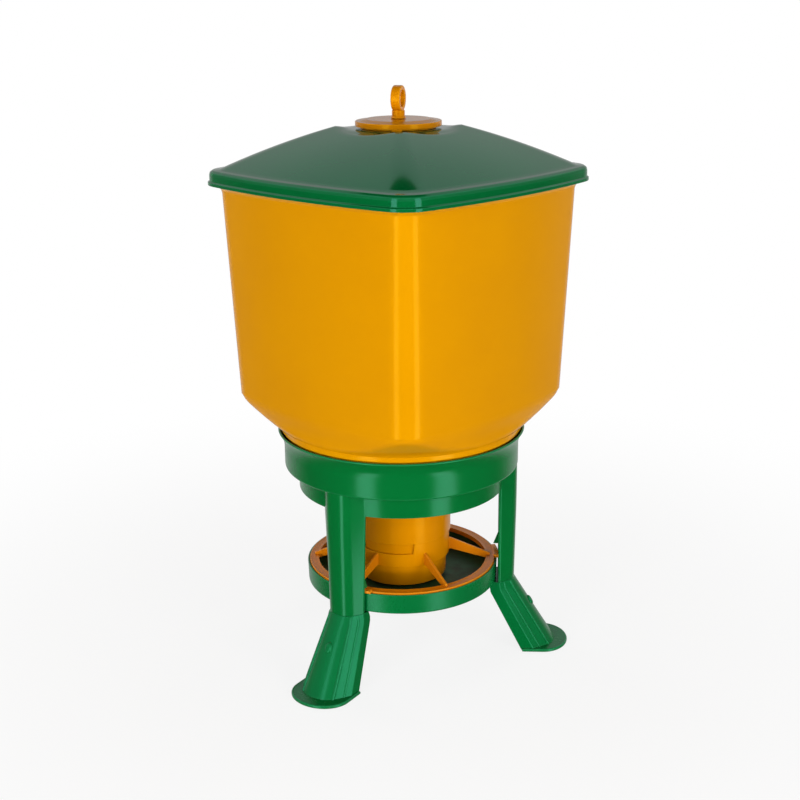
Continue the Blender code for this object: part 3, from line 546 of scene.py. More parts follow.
def skin(name, rings, closed=True):
    """Mesh through rings of equal count; closed joins the last ring to the first."""
    points, starts = [], []
    for ring in rings:
        starts.append(len(points))
        points += ring
    faces = []
    pairs = list(zip(range(len(rings)), range(1, len(rings))))
    if closed:
        pairs.append((len(rings) - 1, 0))
    for low, high in pairs:
        size = max(len(rings[low]), len(rings[high]))
        for index in range(size):
            following = (index + 1) % size
            corners = [starts[low] + index % len(rings[low]), starts[low] + following % len(rings[low]),
                       starts[high] + following % len(rings[high]), starts[high] + index % len(rings[high])]
            faces.append(list(dict.fromkeys(corners)))
    if not closed:
        for ring in (0, len(rings) - 1):
            if len(rings[ring]) > 2:
                faces.append([starts[ring] + index for index in range(len(rings[ring]))])
    mesh = bpy.data.meshes.new(name)
    mesh.from_pydata(points, [], faces)
    builder = bmesh.new()
    builder.from_mesh(mesh)
    bmesh.ops.remove_doubles(builder, verts=builder.verts, dist=DOUBLES)
    bmesh.ops.recalc_face_normals(builder, faces=builder.faces)
    builder.to_mesh(mesh)
    builder.free()
    return mesh


def stack(name, layers):
    """Mesh through flat outlines, each given with its height."""
    return skin(name, [[(x, y, height) for x, y in outline] for height, outline in layers], False)


def lathe(name, profile, points=128, closed=True):
    """Turned mesh; the profile lists distance from the axis and height."""
    rings = []
    for radius, height in profile:
        bearings = [360 * index / points for index in range(points)] if radius > 0 else [0]
        rings.append([polar(radius, bearing, height) for bearing in bearings])
    return skin(name, rings, closed)


def gather(name, meshes):
    """One mesh from several that touch or overlap, as one moulding."""
    builder = bmesh.new()
    for mesh in meshes:
        builder.from_mesh(mesh)
    whole = bpy.data.meshes.new(name)
    builder.to_mesh(whole)
    builder.free()
    for mesh in meshes:
        bpy.data.meshes.remove(mesh)
    return whole


def moved(mesh, matrix):
    mesh.transform(matrix)
    return mesh


def about_axis(degrees):
    return Matrix.Rotation(math.radians(degrees), 4, "Z")


print("merging points closer than", DOUBLES * 1e6, "micrometres")

# %% [markdown]
# ## From rough to finished
# A bevel or a tree of nodes could stay live on its piece, but the frame ties plain meshes to bodies, so
# each modifier is applied as soon as it is set. `dress` is the last step for every piece: it measures
# the edges for the plastic, evens the normals, ties the piece to its body, and hides the CAD nodes that
# it stands for.

# %% Apply modifiers
BEVEL_ANGLE = 38


def plain_mesh(piece):
    """Apply a piece's modifiers and leave it with none."""
    graph = bpy.context.evaluated_depsgraph_get()
    mesh = bpy.data.meshes.new_from_object(piece.evaluated_get(graph))
    piece.modifiers.clear()
    old = piece.data
    piece.data = mesh
    bpy.data.meshes.remove(old)


def applied(piece):
    """The mesh of a helper object with its modifiers applied; the object itself goes."""
    plain_mesh(piece)
    mesh = piece.data
    bpy.data.objects.remove(piece)
    return mesh


def softened(mesh, width, segments=2):
    """The mesh with a small bevel on its sharp edges."""
    piece = show(mesh, mesh.name)
    bevel = piece.modifiers.new("soft_edges", "BEVEL")
    bevel.width = width
    bevel.segments = segments
    bevel.limit_method = "ANGLE"
    bevel.angle_limit = math.radians(BEVEL_ANGLE)
    bevel.use_clamp_overlap = True
    return applied(piece)


print("edges sharper than", BEVEL_ANGLE, "degrees get a bevel")

# %% Finish a piece and tie it to its body
EDGE_RADIUS = 0.0012


def bend_of(edge):
    """How sharply a mesh bends outwards at an edge, as one over a radius."""
    first, second = edge.link_faces
    gap = (first.calc_center_median() - second.calc_center_median()).length
    return edge.calc_face_angle_signed(0.0) / max(gap, 0.0002)


def mark_edges(mesh):
    """Store on each point how sharply it bends, which the plastic reads for its paler edges: partly wear,
    partly painted highlight.
    """
    builder = bmesh.new()
    builder.from_mesh(mesh)
    strength = [0.0] * len(builder.verts)
    for edge in builder.edges:
        if len(edge.link_faces) == 2:
            bend = min(1.0, bend_of(edge) * EDGE_RADIUS)
            for point in edge.verts:
                strength[point.index] = max(strength[point.index], bend)
    builder.free()
    layer = mesh.attributes.get("edge") or mesh.attributes.new("edge", "FLOAT", "POINT")
    layer.data.foreach_set("value", strength)


def report_fit(piece, nodes):
    """Print how far the piece's box is from the box of the nodes that it stands for, in mm."""
    lows, highs = zip(*(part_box(node) for node in nodes))
    worst = 0.0
    for axis in range(3):
        low = min(point.co[axis] for point in piece.data.vertices)
        high = max(point.co[axis] for point in piece.data.vertices)
        worst = max(worst, abs(low - min(c[axis] for c in lows)), abs(high - max(c[axis] for c in highs)))
    triangles = sum(len(face.vertices) - 2 for face in piece.data.polygons)
    print(f"{piece.name}: {triangles} triangles, box within {worst * 1000:.2f} mm of the CAD")


def dress(mesh, name, surface, body, slot, *nodes):
    """Show a mesh with its finish and even normals, tied to its body, with its CAD nodes hidden; the slot
    is not used.
    """
    mesh.materials.clear()
    mesh.materials.append(surface)
    mesh.shade_smooth()
    mark_edges(mesh)
    piece = show(mesh, name)
    even = piece.modifiers.new("even_normals", "WEIGHTED_NORMAL")
    even.weight = 80
    even.keep_sharp = True
    plain_mesh(piece)
    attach(piece, body)
    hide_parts(*nodes)
    report_fit(piece, nodes)


print("bends as tight as", EDGE_RADIUS * 1000, "mm get the full pale edge")

# %% [markdown]
# ## Copies round the axis
# Spokes, posts and grips repeat round the upright axis. Copies could be pasted in a loop, but one
# Geometry Nodes tree serves them all: it takes the mesh of one copy, sets instances of it at even
# bearings, and makes them real. The count and the first bearing are named inputs, so the same tree makes
# three posts or six spokes.

# %% Build the tree that repeats
def repeat_tree():
    tree = bpy.data.node_groups.new("repeat_round_axis", "GeometryNodeTree")
    for name, way, kind in (("Geometry", "INPUT", "Geometry"), ("Count", "INPUT", "Int"),
                            ("First Bearing", "INPUT", "Float"), ("Finish", "INPUT", "Material"),
                            ("Geometry", "OUTPUT", "Geometry")):
        tree.interface.new_socket(name=name, in_out=way, socket_type="NodeSocket" + kind)
    given = add_node(tree, "NodeGroupInput")
    count = output(tree, given, "Count")
    index = output(tree, add_node(tree, "GeometryNodeInputIndex"), "Index")
    bearing = (output(tree, given, "First Bearing") + index * 360.0 / count) * (math.pi / 180)
    points = add_node(tree, "GeometryNodePoints", None, {"Count": count})
    turn = add_node(tree, "ShaderNodeCombineXYZ", None, {"Z": bearing})
    rotation = add_node(tree, "FunctionNodeEulerToRotation", None, {0: output(tree, turn)})
    copies = add_node(tree, "GeometryNodeInstanceOnPoints", None,
                      {"Points": output(tree, points), "Instance": output(tree, given, "Geometry"),
                       "Rotation": output(tree, rotation)})
    real = add_node(tree, "GeometryNodeRealizeInstances", None, {0: output(tree, copies)})
    finished = add_node(tree, "GeometryNodeSetMaterial", None,
                        {"Geometry": output(tree, real), "Material": output(tree, given, "Finish")})
    add_node(tree, "NodeGroupOutput", None, {0: output(tree, finished)})
    return tree


REPEAT = repeat_tree()


def repeated(mesh, count, first_bearing, surface):
    """Mesh of even copies round the axis; each named input is set by its socket's identifier."""
    piece = show(mesh, mesh.name + "_copies")
    modifier = piece.modifiers.new("copies", "NODES")
    modifier.node_group = REPEAT
    values = {"Count": count, "First Bearing": first_bearing, "Finish": surface}
    for item in REPEAT.interface.items_tree:
        if item.in_out == "INPUT" and item.name in values:
            modifier[item.identifier] = values[item.name]
    return applied(piece)


print("tree inputs:", [item.name for item in REPEAT.interface.items_tree if item.in_out == "INPUT"])

# %% [markdown]
# ## The ring and its posts
# The stand is one moulding: a stepped ring with a flared lip, and three channel-shaped posts under it.
# The ring is a turned profile with rounded bends. A post could be a plain extrusion, but it widens
# slightly towards the ring, so it is lofted through channel outlines, each with a softly rounded face.

# %% Turn the ring
SEAT_GAP = 0.0003
FOOT_TOP = 0.0892
POST_FOOT = FOOT_TOP + SEAT_GAP
POST_HEIGHT = 0.1265
RING_FOOT = POST_FOOT + POST_HEIGHT
RING_STEP = RING_FOOT + 0.028
RING_RADIUS = 0.1275
RING_WALL = 0.0025
STEP_RADIUS = 0.1445
LIP_ARC = 0.0318
LIP_SWEEP = 40
LIP_STEPS = 10
LIP_CENTRE = (STEP_RADIUS + LIP_ARC, RING_STEP + 0.026)


def lip_arc(extra):
    """The ring's flared lip from foot to tip, moved inwards by an extra distance."""
    points = []
    for step in range(LIP_STEPS + 1):
        turn = math.radians(180 - LIP_SWEEP * step / LIP_STEPS)
        points.append((LIP_CENTRE[0] + (LIP_ARC + extra) * math.cos(turn),
                       LIP_CENTRE[1] + (LIP_ARC + extra) * math.sin(turn)))
    return points


def ring_mesh():
    outside = [(RING_RADIUS, RING_FOOT), (RING_RADIUS, RING_STEP), (STEP_RADIUS, RING_STEP)] + lip_arc(0)
    inside = [(RING_RADIUS - RING_WALL, RING_FOOT), (RING_RADIUS - RING_WALL, RING_STEP + RING_WALL),
              (STEP_RADIUS - RING_WALL, RING_STEP + RING_WALL)] + lip_arc(RING_WALL)
    soft_outside = [0.0007, 0.0012, 0.0036] + [0] * LIP_STEPS + [0.001]
    soft_inside = [0.0007, 0.002, 0.0015] + [0] * LIP_STEPS + [0.001]
    return lathe("ring", rounded(outside + inside[::-1], soft_outside + soft_inside[::-1], 5), 160)


ring_part = ring_mesh()
print("ring:", len(ring_part.polygons), "faces")

# %% Loft the posts
LEG_TURN = -4.96
POST_INNER = 0.1217
POST_FLANK = 0.124
POST_OUTER = 0.142
POST_HALF = 0.0244
POST_FACE_HALF = 0.012
POST_TOP_OUTER = 0.1437
POST_TOP_HALF = 0.029
POST_STRAIGHT = 0.794
CHANNEL_END = 0.0005
CHANNEL_FLANK = 0.0035


def channel_path(inner, flank, outer, half, face_half):
    """Path of a channel that is open towards the axis: two sides, two slanting facets and a face."""
    return [(inner, -half), (flank, -half), (outer, -face_half),
            (outer, face_half), (flank, half), (inner, half)]


def channel(sizes, wall, soft_face):
    """Rounded outline of a channel with a wall."""
    path = channel_path(*sizes)
    soft = [CHANNEL_END, CHANNEL_FLANK, soft_face, soft_face, CHANNEL_FLANK, CHANNEL_END]
    back = offset_path(path, wall)[::-1]
    inner_soft = [CHANNEL_END, max(CHANNEL_FLANK - wall, 0.0006), max(soft_face - wall, 0.001)]
    return rounded(path + back, soft + inner_soft + inner_soft[::-1], 6)


def post_outline(share):
    """The post's outline at a share of its height; its face stops leaning before the top."""
    outer = between(POST_OUTER, POST_TOP_OUTER, min(1, share / POST_STRAIGHT))
    half = between(POST_HALF, POST_TOP_HALF, share)
    return channel((POST_INNER, POST_FLANK, outer, half, POST_FACE_HALF), RING_WALL, 0.02)


def post_mesh():
    layers = [(POST_FOOT + POST_HEIGHT * step / 8, post_outline(step / 8)) for step in range(9)]
    return stack("post", layers + [(RING_STEP + 0.0012, post_outline(1))])


def rib_mesh():
    """Small triangular rib on the post's flank."""
    foot = POST_FOOT + 0.0325
    side = 0.0252
    triangle = [(0.1157, foot), (0.1229, foot), (0.1229, foot + 0.019)]
    return skin("rib", [[(x, y, z) for x, z in triangle] for y in (side - 0.0016, side)], False)


post = softened(gather("post", [post_mesh(), rib_mesh()]), 0.0006)
posts = repeated(post, 3, LEG_TURN, plastics["stand"])
dress(gather("stand", [ring_part, posts]), "stand_ring_and_posts",
      plastics["stand"], "stand", "stand_green", "leg_ring")

# %% [markdown]
# ## The feet
# Each foot is a splayed channel that plugs into its post and ends in a round-nosed pad. Two raised
# lines run down each slanting facet and a small oval latch shows on the outer face. A straight channel
# could be sheared into place, but the foot leans and widens at once, so its outline is worked out for
# every height and the loft follows it.

# %% Loft a foot
FOOT_WALL = 0.003
ELBOW_DROP = 0.0096
FOOT_ELBOW = FOOT_TOP - ELBOW_DROP
ELBOW_INNER = 0.1106
FOOT_SPLAY = 0.055
FOOT_FACE_HALF = 0.017
FLANK_SHARE = 0.36
PAD_HEEL = 0.1527
PAD_HALF = 0.0382
PAD_LEDGE = 0.0026
NOSE_CENTRE = 0.179
NOSE_REACH = 0.0324


def foot_sizes(height):
    """Inner edge, flank, outer face, half width and half face of the foot at a height."""
    share = 1 - height / FOOT_TOP
    if height >= FOOT_ELBOW:
        inner = between(ELBOW_INNER, 0.113, (height - FOOT_ELBOW) / ELBOW_DROP)
    else:
        inner = between(PAD_HEEL, ELBOW_INNER, height / FOOT_ELBOW)
    outer = POST_OUTER + FOOT_SPLAY * share
    half = between(POST_HALF, PAD_HALF - PAD_LEDGE, share)
    face_half = between(POST_FACE_HALF, FOOT_FACE_HALF, share)
    return inner, between(inner, outer, FLANK_SHARE), outer, half, face_half


def foot_shell():
    levels = [FOOT_TOP, FOOT_ELBOW + 0.0025, FOOT_ELBOW - 0.003, 0.06, 0.045, 0.03, 0.015, 0.006, 0.0015]
    return stack("shell", [(level, channel(foot_sizes(level), FOOT_WALL, 0.026)) for level in levels])


def foot_top_plate():
    outline = offset_path(channel_path(*foot_sizes(FOOT_TOP)), FOOT_WALL / 2)
    return stack("plate", [(level, outline) for level in (FOOT_TOP - 0.0001, FOOT_TOP - 0.004)])


def foot_plug():
    path = channel_path(POST_INNER, POST_FLANK, POST_OUTER, POST_HALF, POST_FACE_HALF)
    outline = offset_path(path, 0.0029) + offset_path(path, 0.0059)[::-1]
    return stack("plug", [(level, outline) for level in (FOOT_TOP - 0.002, FOOT_TOP + 0.022)])


def foot_pad():
    """Flat pad with a round nose and a softly rounded upper edge."""
    layers = []
    for height, inset in ((0.0, 0.0008), (0.0008, 0.0), (0.0026, 0.0), (0.0036, 0.0005), (0.0042, 0.0016),
                          (0.0036, 0.0032)):
        half = PAD_HALF - inset
        outline = [(PAD_HEEL + inset, half), (PAD_HEEL + inset, -half)]
        for step in range(-90, 91, 6):
            turn = math.radians(step)
            outline.append((NOSE_CENTRE + (NOSE_REACH - inset) * math.cos(turn), half * math.sin(turn)))
        layers.append((height, outline))
    return stack("pad", layers)


print("foot at half height:", [round(value, 4) for value in foot_sizes(0.045)])

# %% Add the raised lines and the latch
def foot_line(side, share):
    """Raised line down a slanting facet, rounded on top and running out at its ends."""
    layers = []
    for level, proud in ((FOOT_TOP - 0.001, 0.0), (FOOT_TOP - 0.005, 0.001), (FOOT_ELBOW, 0.0012),
                         (0.05, 0.0012), (0.02, 0.0012), (0.003, 0.001)):
        flank, outer, half, face_half = foot_sizes(level)[1:]
        start = Vector((flank, half * side))
        along = Vector((outer, face_half * side)) - start
        middle = start + along * share
        along.normalize()
        outward = Vector((-along.y, along.x)) * side
        section = ((-0.0017, -0.0015), (-0.0015, 0.0), (-0.0007, proud), (0.0007, proud), (0.0015, 0.0),
                   (0.0017, -0.0015))
        layers.append((level, [middle + along * across + outward * rise for across, rise in section]))
    return stack("line", layers)


def foot_latch():
    """Low oval button on the outer face, with a soft crown."""
    level = FOOT_TOP - 0.034
    lean = math.atan2(FOOT_SPLAY, FOOT_TOP)
    rings = []
    for depth, share in ((-0.0015, 1.12), (0.0002, 1.06), (0.0008, 1.0), (0.0016, 0.9), (0.0021, 0.68),
                         (0.0022, 0.3)):
        turns = [math.radians(step) for step in range(0, 360, 12)]
        rings.append([(depth, 0.0045 * share * math.cos(turn), 0.00625 * share * math.sin(turn))
                      for turn in turns])
    tilt = Matrix.Translation((foot_sizes(level)[2], 0, level)) @ Matrix.Rotation(-lean, 4, "Y")
    return moved(skin("latch", rings, False), tilt)


def foot_mesh():
    parts = [foot_shell(), foot_top_plate(), foot_plug(), foot_pad(), foot_latch()]
    for side in (-1, 1):
        parts += [foot_line(side, share) for share in (0.3, 0.72)]
    return gather("foot", parts)


for step, node in enumerate(("foot_right", "foot_back", "foot_front")):
    foot = softened(moved(foot_mesh(), about_axis(LEG_TURN + 120 * step)), 0.0005)
    dress(foot, node + "_splayed", plastics["foot"], "stand", node + "_green", node)

# %% [markdown]
# ## A square that turns round
# The hopper is square with bowed sides and rounded corners at the top, and round at the neck. It could
# be two pieces with a seam, but the real one flows from one form into the other. So its outline at any
# height is a distance from the axis for each bearing: one formula for the square, one for the cone of
# the neck, and a soft minimum of the two where they meet. Below the cone the neck follows the ring's lip
# at an even gap.

# %% Measure the square outline
SIDE_BOW = 0.84


def square_radius(bearing, half, corner):
    """Distance from the axis to a square with bowed sides and rounded corners."""
    turned_by = abs(math.radians(bearing % 90 - 45))
    cosine, sine = math.cos(turned_by), math.sin(turned_by)
    shift = half - SIDE_BOW
    span = SIDE_BOW - corner
    corner_place = (shift + math.sqrt(2 * span * span - shift * shift)) / 2
    meeting = math.atan2(corner_place, corner_place - shift)
    meeting_bearing = math.atan2(SIDE_BOW * math.sin(meeting), shift + SIDE_BOW * math.cos(meeting))
    if turned_by <= meeting_bearing:
        return shift * cosine + math.sqrt(SIDE_BOW ** 2 - (shift * sine) ** 2)
    across = corner_place * (cosine - sine)
    return corner_place * (cosine + sine) + math.sqrt(max(corner ** 2 - across ** 2, 0))


def square_bearings():
    """Bearings shared by every ring, close together where the corners bend."""
    bearings = []
    for corner in range(0, 360, 90):
        bearings += [corner + step * 0.75 for step in range(-18, 19)]
        bearings += [corner + 17 + step * 4 for step in range(15)]
    return bearings


BEARINGS = square_bearings()


def square_ring(half, corner, height):
    return [polar(square_radius(bearing, half, corner), bearing, height) for bearing in BEARINGS]


def round_ring(radius, height):
    return [polar(radius, bearing, height) for bearing in BEARINGS]


print("points in a ring:", len(BEARINGS))

# %% Loft the hopper
HOPPER_WALL = 0.003
HOPPER_SEAT = RING_STEP + RING_WALL + SEAT_GAP
HOPPER_HALF, HOPPER_CORNER = 0.1646, 0.029
TURN_HALF, TURN_CORNER = 0.1558, 0.034
TURN_EASE = 0.028
CONE_FOOT = 0.148
CONE_SLOPE = math.radians(35)
SOFT_MEET = 0.006
NECK_GAP = 0.0025
NECK_LIP = lip_arc(RING_WALL + NECK_GAP)[::-1]
TURN_FOOT = NECK_LIP[0][1] + 0.0045
TURN_TOP = TURN_FOOT + 0.038
WALL_TOP = TURN_TOP + 0.244
RIM_BAND = 0.014
RIM_FLARE = 0.0055
RIM_OUT = 0.0067
RIM_TOP = WALL_TOP + 0.0035 + RIM_FLARE + RIM_BAND
FUNNEL_TOP = RING_RADIUS - RING_WALL - 0.001
FUNNEL_SLOPE = math.radians(39)
TUBE_RADIUS = 0.061
TUBE_WALL = 0.0025
SPOUT = TUBE_RADIUS - TUBE_WALL - SEAT_GAP
SPOUT_LENGTH = 0.022


def funnel_height(radius):
    return HOPPER_SEAT - (FUNNEL_TOP - radius) * math.tan(FUNNEL_SLOPE)


def turn_ring(height, inset):
    """Outline where the square walls turn in to the round neck."""
    share = min(1, max(0, (TURN_TOP - height) / TURN_EASE))
    half = between(TURN_HALF, 0.1498, share * share * (3 - 2 * share)) - inset
    cone = CONE_FOOT + (height - TURN_FOOT) / math.tan(CONE_SLOPE) - inset / math.sin(CONE_SLOPE)
    ring = []
    for bearing in BEARINGS:
        square = square_radius(bearing, half, TURN_CORNER - inset)
        blend = math.hypot(square - cone, SOFT_MEET)
        ring.append(polar((square + cone - blend) / 2, bearing, height))
    return ring


def neck_profile():
    """Outer profile of the neck, which follows the ring's lip, then of the funnel and the spout."""
    return NECK_LIP + [(NECK_LIP[-1][0], HOPPER_SEAT), (FUNNEL_TOP, HOPPER_SEAT),
                       (SPOUT, funnel_height(SPOUT)), (SPOUT, funnel_height(SPOUT) - SPOUT_LENGTH)]


def hopper_side(inset, turn_steps, wall_steps):
    """Rings of one side of the hopper's wall, from its top down to the spout."""
    rings = []
    for step in range(wall_steps + 1):
        share = step / wall_steps
        rings.append(square_ring(between(HOPPER_HALF, TURN_HALF, share) - inset,
                                 between(HOPPER_CORNER, TURN_CORNER, share) - inset,
                                 between(WALL_TOP, TURN_TOP, share)))
    first = TURN_FOOT + inset * math.sqrt(2)
    for step in range(1, turn_steps + 1):
        rings.append(turn_ring(between(TURN_TOP, first, step / turn_steps), inset))
    path = offset_path(neck_profile(), -inset) if inset else neck_profile()
    soft = [0.0015] + [0] * LIP_STEPS + [0.003, 0.003, 0.004, 0]
    return rings + [round_ring(radius, height) for radius, height in rounded(path, soft, 4, False)]


def hopper_mesh():
    rim = rounded([(-HOPPER_WALL, RIM_TOP), (RIM_OUT, RIM_TOP), (RIM_OUT, RIM_TOP - RIM_BAND),
                   (0.0012, RIM_TOP - RIM_BAND - RIM_FLARE), (0.0, WALL_TOP)],
                  [0.0008, 0.0015, 0.0015, 0.002, 0], 4, False)
    rings = [square_ring(HOPPER_HALF + outset, HOPPER_CORNER + outset, height)
             for outset, height in rim[:-1]]
    rings += hopper_side(0, 30, 10)
    rings += hopper_side(HOPPER_WALL, 16, 6)[::-1]
    return skin("hopper", rings)


dress(hopper_mesh(), "hopper_square_to_round", plastics["hopper"], "hopper_unit", "hopper_amber", "hopper")

# %% [markdown]
# ## The outlet tube
# The tube is pushed over the hopper's spout and narrows at a shoulder where the grid's collar meets it.
# One tooth under the shoulder stops the tray when it is turned. The tube is a turned profile. The tooth
# could be cut from it, but a short sector of a ring that sinks into the wall needs no cutting.

# %% Turn the tube and its tooth
TUBE_SHOULDER = funnel_height(SPOUT) - SPOUT_LENGTH - 0.0175
TRAY_WALL = 0.0022
FEED_GAP = 0.0063
TUBE_END = POST_FOOT + TRAY_WALL + FEED_GAP
STEP_HEIGHT = 0.0133
GRID_TURN = -3.5
STEP_BEARING = GRID_TURN - 143.5
STEP_STARTS = (STEP_BEARING, STEP_BEARING + 180)
TOOTH_SWEEP = 12


def rectangle(inner, outer, first, second):
    """Section between two radii and two heights, which starts at the first height."""
    return [(inner, first), (outer, first), (outer, second), (inner, second)]


def sector_mesh(name, section, start, end):
    """Part of a ring: a section of radii and heights swept between two bearings."""
    bearings = [between(start, end, step / 10) for step in range(11)]
    rings = [[polar(radius, bearing, height) for radius, height in section] for bearing in bearings]
    return skin(name, rings, False)


def tube_mesh():
    inner = TUBE_RADIUS - TUBE_WALL
    lean = SEAT_GAP / math.cos(FUNNEL_SLOPE)
    outside = [(TUBE_RADIUS, funnel_height(TUBE_RADIUS) - lean), (TUBE_RADIUS, TUBE_SHOULDER),
               (0.0565, TUBE_SHOULDER), (0.055, TUBE_END)]
    inside = [(0.0525, TUBE_END), (0.054, TUBE_SHOULDER + TUBE_WALL), (inner, TUBE_SHOULDER + 0.005),
              (inner, funnel_height(inner) - lean)]
    soft = [0.0004, 0.0012, 0.0008, 0.0006, 0.0006, 0.002, 0.002, 0.0004]
    return lathe("tube", rounded(outside + inside, soft))


tooth_start = STEP_STARTS[1] + 3.5
tooth_section = rectangle(0.0553, TUBE_RADIUS, TUBE_SHOULDER - STEP_HEIGHT, TUBE_SHOULDER + 0.0012)
tooth = softened(sector_mesh("tooth", tooth_section, tooth_start, tooth_start + TOOTH_SWEEP), 0.0006)
dress(gather("tube", [tube_mesh(), tooth]), "outlet_tube_with_tooth",
      plastics["tube"], "hopper_unit", "tube_amber", "outlet_tube")

# %% [markdown]
# ## The feed grid
# A ring with six spokes keeps the hens from scratching feed out of the tray. In the middle a collar goes
# round the tube, with a top edge in two heights that sets how much feed runs out. The steps could be cut
# out of a plain tube, but the edge is simply a height for each bearing, so it is drawn that way. The
# spokes are one bar repeated by the tree.

# %% Turn the grid's ring
TRAY_RADIUS = 0.12
TRAY_RIM = POST_FOOT + 0.025
GRID_TOP = TRAY_RIM + 0.002
GRID_INNER = 0.1059
GRID_OUTER = TRAY_RADIUS - TRAY_WALL - 0.0005
GRID_LIP = 0.0015
GRID_GROOVE = 0.0004
GRID_WEB = 0.002
GRID_DEPTH = 0.0058


def grid_ring_mesh():
    groove = GRID_TOP - GRID_GROOVE
    under = groove - GRID_WEB
    foot = GRID_TOP - GRID_DEPTH
    inner, outer = GRID_INNER, GRID_OUTER
    inner_lip, outer_lip = inner + GRID_LIP, outer - GRID_LIP
    inner_web, outer_web = inner + 2 * GRID_LIP, outer - 2 * GRID_LIP
    profile = [(inner, foot), (inner, GRID_TOP), (inner_lip, GRID_TOP), (inner_web, groove),
               (outer_web, groove), (outer_lip, GRID_TOP), (outer, GRID_TOP), (outer, foot),
               (outer_lip, foot), (outer_web, under), (inner_web, under), (inner_lip, foot)]
    return lathe("grid_ring", rounded(profile, 0.0006, 3), 160)


def lug_mesh(bearing):
    """Tab that lies on the tray's rim beside a post."""
    low = TRAY_RIM + SEAT_GAP
    section = rectangle(GRID_OUTER - GRID_LIP, GRID_OUTER + 0.0049, low, low + 0.0035)
    return sector_mesh("lug", rounded(section, 0.0007, 3), bearing - 2.5, bearing + 14.6)


print("grid ring from", GRID_INNER, "to", round(GRID_OUTER, 4))

# %% Step the collar's edge
COLLAR_INNER = 0.057
COLLAR_OUTER = COLLAR_INNER + 0.0023
COLLAR_HIGH = TUBE_SHOULDER - SEAT_GAP
COLLAR_LOW = COLLAR_HIGH - STEP_HEIGHT
COLLAR_DEPTH = 0.017
STEP_SWEEP = 70


def collar_height(bearing):
    """Height of the collar's top edge at a bearing, with slanted steps."""
    height = COLLAR_HIGH
    for start in STEP_STARTS:
        along = (bearing - start) % 360
        if along <= STEP_SWEEP:
            height = COLLAR_HIGH - STEP_HEIGHT * min(1, along / 2, (STEP_SWEEP - along) / 2)
    return height


def collar_mesh():
    bearings = set(range(0, 360, 2))
    for start in STEP_STARTS:
        bearings.update((start + extra) % 360 for extra in (0, 0.4, 1.6, 2, 68, 68.4, 69.6, STEP_SWEEP))
    bearings = sorted(set(round(bearing, 3) for bearing in bearings))
    foot = COLLAR_LOW - COLLAR_DEPTH
    rings = [[polar(radius, bearing, foot + lift) for bearing in bearings]
             for radius, lift in ((COLLAR_INNER, 0), (COLLAR_OUTER - 0.0004, 0), (COLLAR_OUTER, 0.0005))]
    rings += [[polar(radius, bearing, collar_height(bearing) - drop) for bearing in bearings]
              for radius, drop in ((COLLAR_OUTER, 0.0006), (COLLAR_OUTER - 0.0007, 0),
                                   (COLLAR_INNER + 0.0004, 0), (COLLAR_INNER, 0.0005))]
    return skin("collar", rings)


print("collar edge:", round(COLLAR_LOW, 4), "and", round(COLLAR_HIGH, 4))

# %% Repeat the spokes
def spoke_mesh():
    """Tapered bar from the collar to the ring, ending in a rib on the ring."""
    collar_top = COLLAR_LOW - 0.0005
    stations = [(COLLAR_OUTER - 0.001, collar_top - 0.016, collar_top, 0.0017),
                (COLLAR_OUTER + 0.002, collar_top - 0.0155, collar_top - 0.0006, 0.0015),
                (GRID_INNER + 0.0008, GRID_TOP - 0.005, GRID_TOP + 0.004, 0.0015),
                (GRID_INNER + 0.003, GRID_TOP - 0.0025, GRID_TOP + 0.0032, 0.0015),
                (GRID_INNER + 0.0055, GRID_TOP - 0.0025, GRID_TOP + 0.002, 0.0015)]
    rings = [[(radius, -side, low), (radius, side, low), (radius, side, high), (radius, -side, high)]
             for radius, low, high, side in stations]
    return skin("spoke", rings, False)


spokes = repeated(softened(spoke_mesh(), 0.0006, 3), 6, GRID_TURN, plastics["grid"])
grid = gather("grid", [grid_ring_mesh(), spokes] + [lug_mesh(LEG_TURN + 120 * leg) for leg in range(3)])
dress(grid, "feed_grid_ring_and_spokes", plastics["grid"], "tray_unit", "grid_amber", "feed_grid",
      *[f"grid_spoke_{index}" for index in range(1, 7)])
dress(collar_mesh(), "stepped_collar", plastics["tube"], "tray_unit", "collar_amber", "grid_collar")

# %% [markdown]
# ## The tray
# The tray is a shallow dish whose wall leans out slightly. A low cone in its middle spreads the feed to
# all sides. It is one turned profile that starts and ends on the axis, which leaves no seam between
# dish and cone.

# %% Turn the tray
CONE_TOP = POST_FOOT + 0.022
CONE_RADIUS = 0.044
TRAY_FOOT_RADIUS = 0.1192


def tray_mesh():
    path = [(0.0, CONE_TOP), (0.006, CONE_TOP), (CONE_RADIUS, POST_FOOT), (TRAY_FOOT_RADIUS, POST_FOOT),
            (TRAY_RADIUS, TRAY_RIM)]
    inner = offset_path(path, TRAY_WALL)
    inner[0] = (0.0, CONE_TOP + TRAY_WALL)
    inner[-1] = (TRAY_RADIUS - TRAY_WALL, TRAY_RIM)
    soft = [0, 0.003, 0.006, 0.003, 0.0008, 0.0008, 0.002, 0.006, 0.004, 0]
    return lathe("tray", rounded(path + inner[::-1], soft, 4, False), 144, False)


dress(tray_mesh(), "tray_with_cone", plastics["tray"], "tray_unit", "tray_green", "tray")

# %% [markdown]
# ## The lid
# The lid is a low hipped roof that bows up a little between its crown and its edge, with a rounded
# shoulder and an upright skirt that ends in a small lip. Four flat panels would meet in hard hips, so
# instead each ring lies between the round crown and the square edge, and its height depends on how far
# out along a hip it would be.

# %% Shape the roof
LID_SEAT = RIM_TOP + SEAT_GAP
LID_WALL = 0.0025
LID_HALF = 0.1775
LID_CORNER = 0.036
ROOF_HALF = LID_HALF - 0.011
ROOF_LIFT = 0.0037
ROOF_SLOPE = 0.175
ROOF_BOW = 0.625
CROWN = 0.0735
DISH_RADIUS = 0.053


def roof_edge(bearing):
    return square_radius(bearing, ROOF_HALF, LID_CORNER)


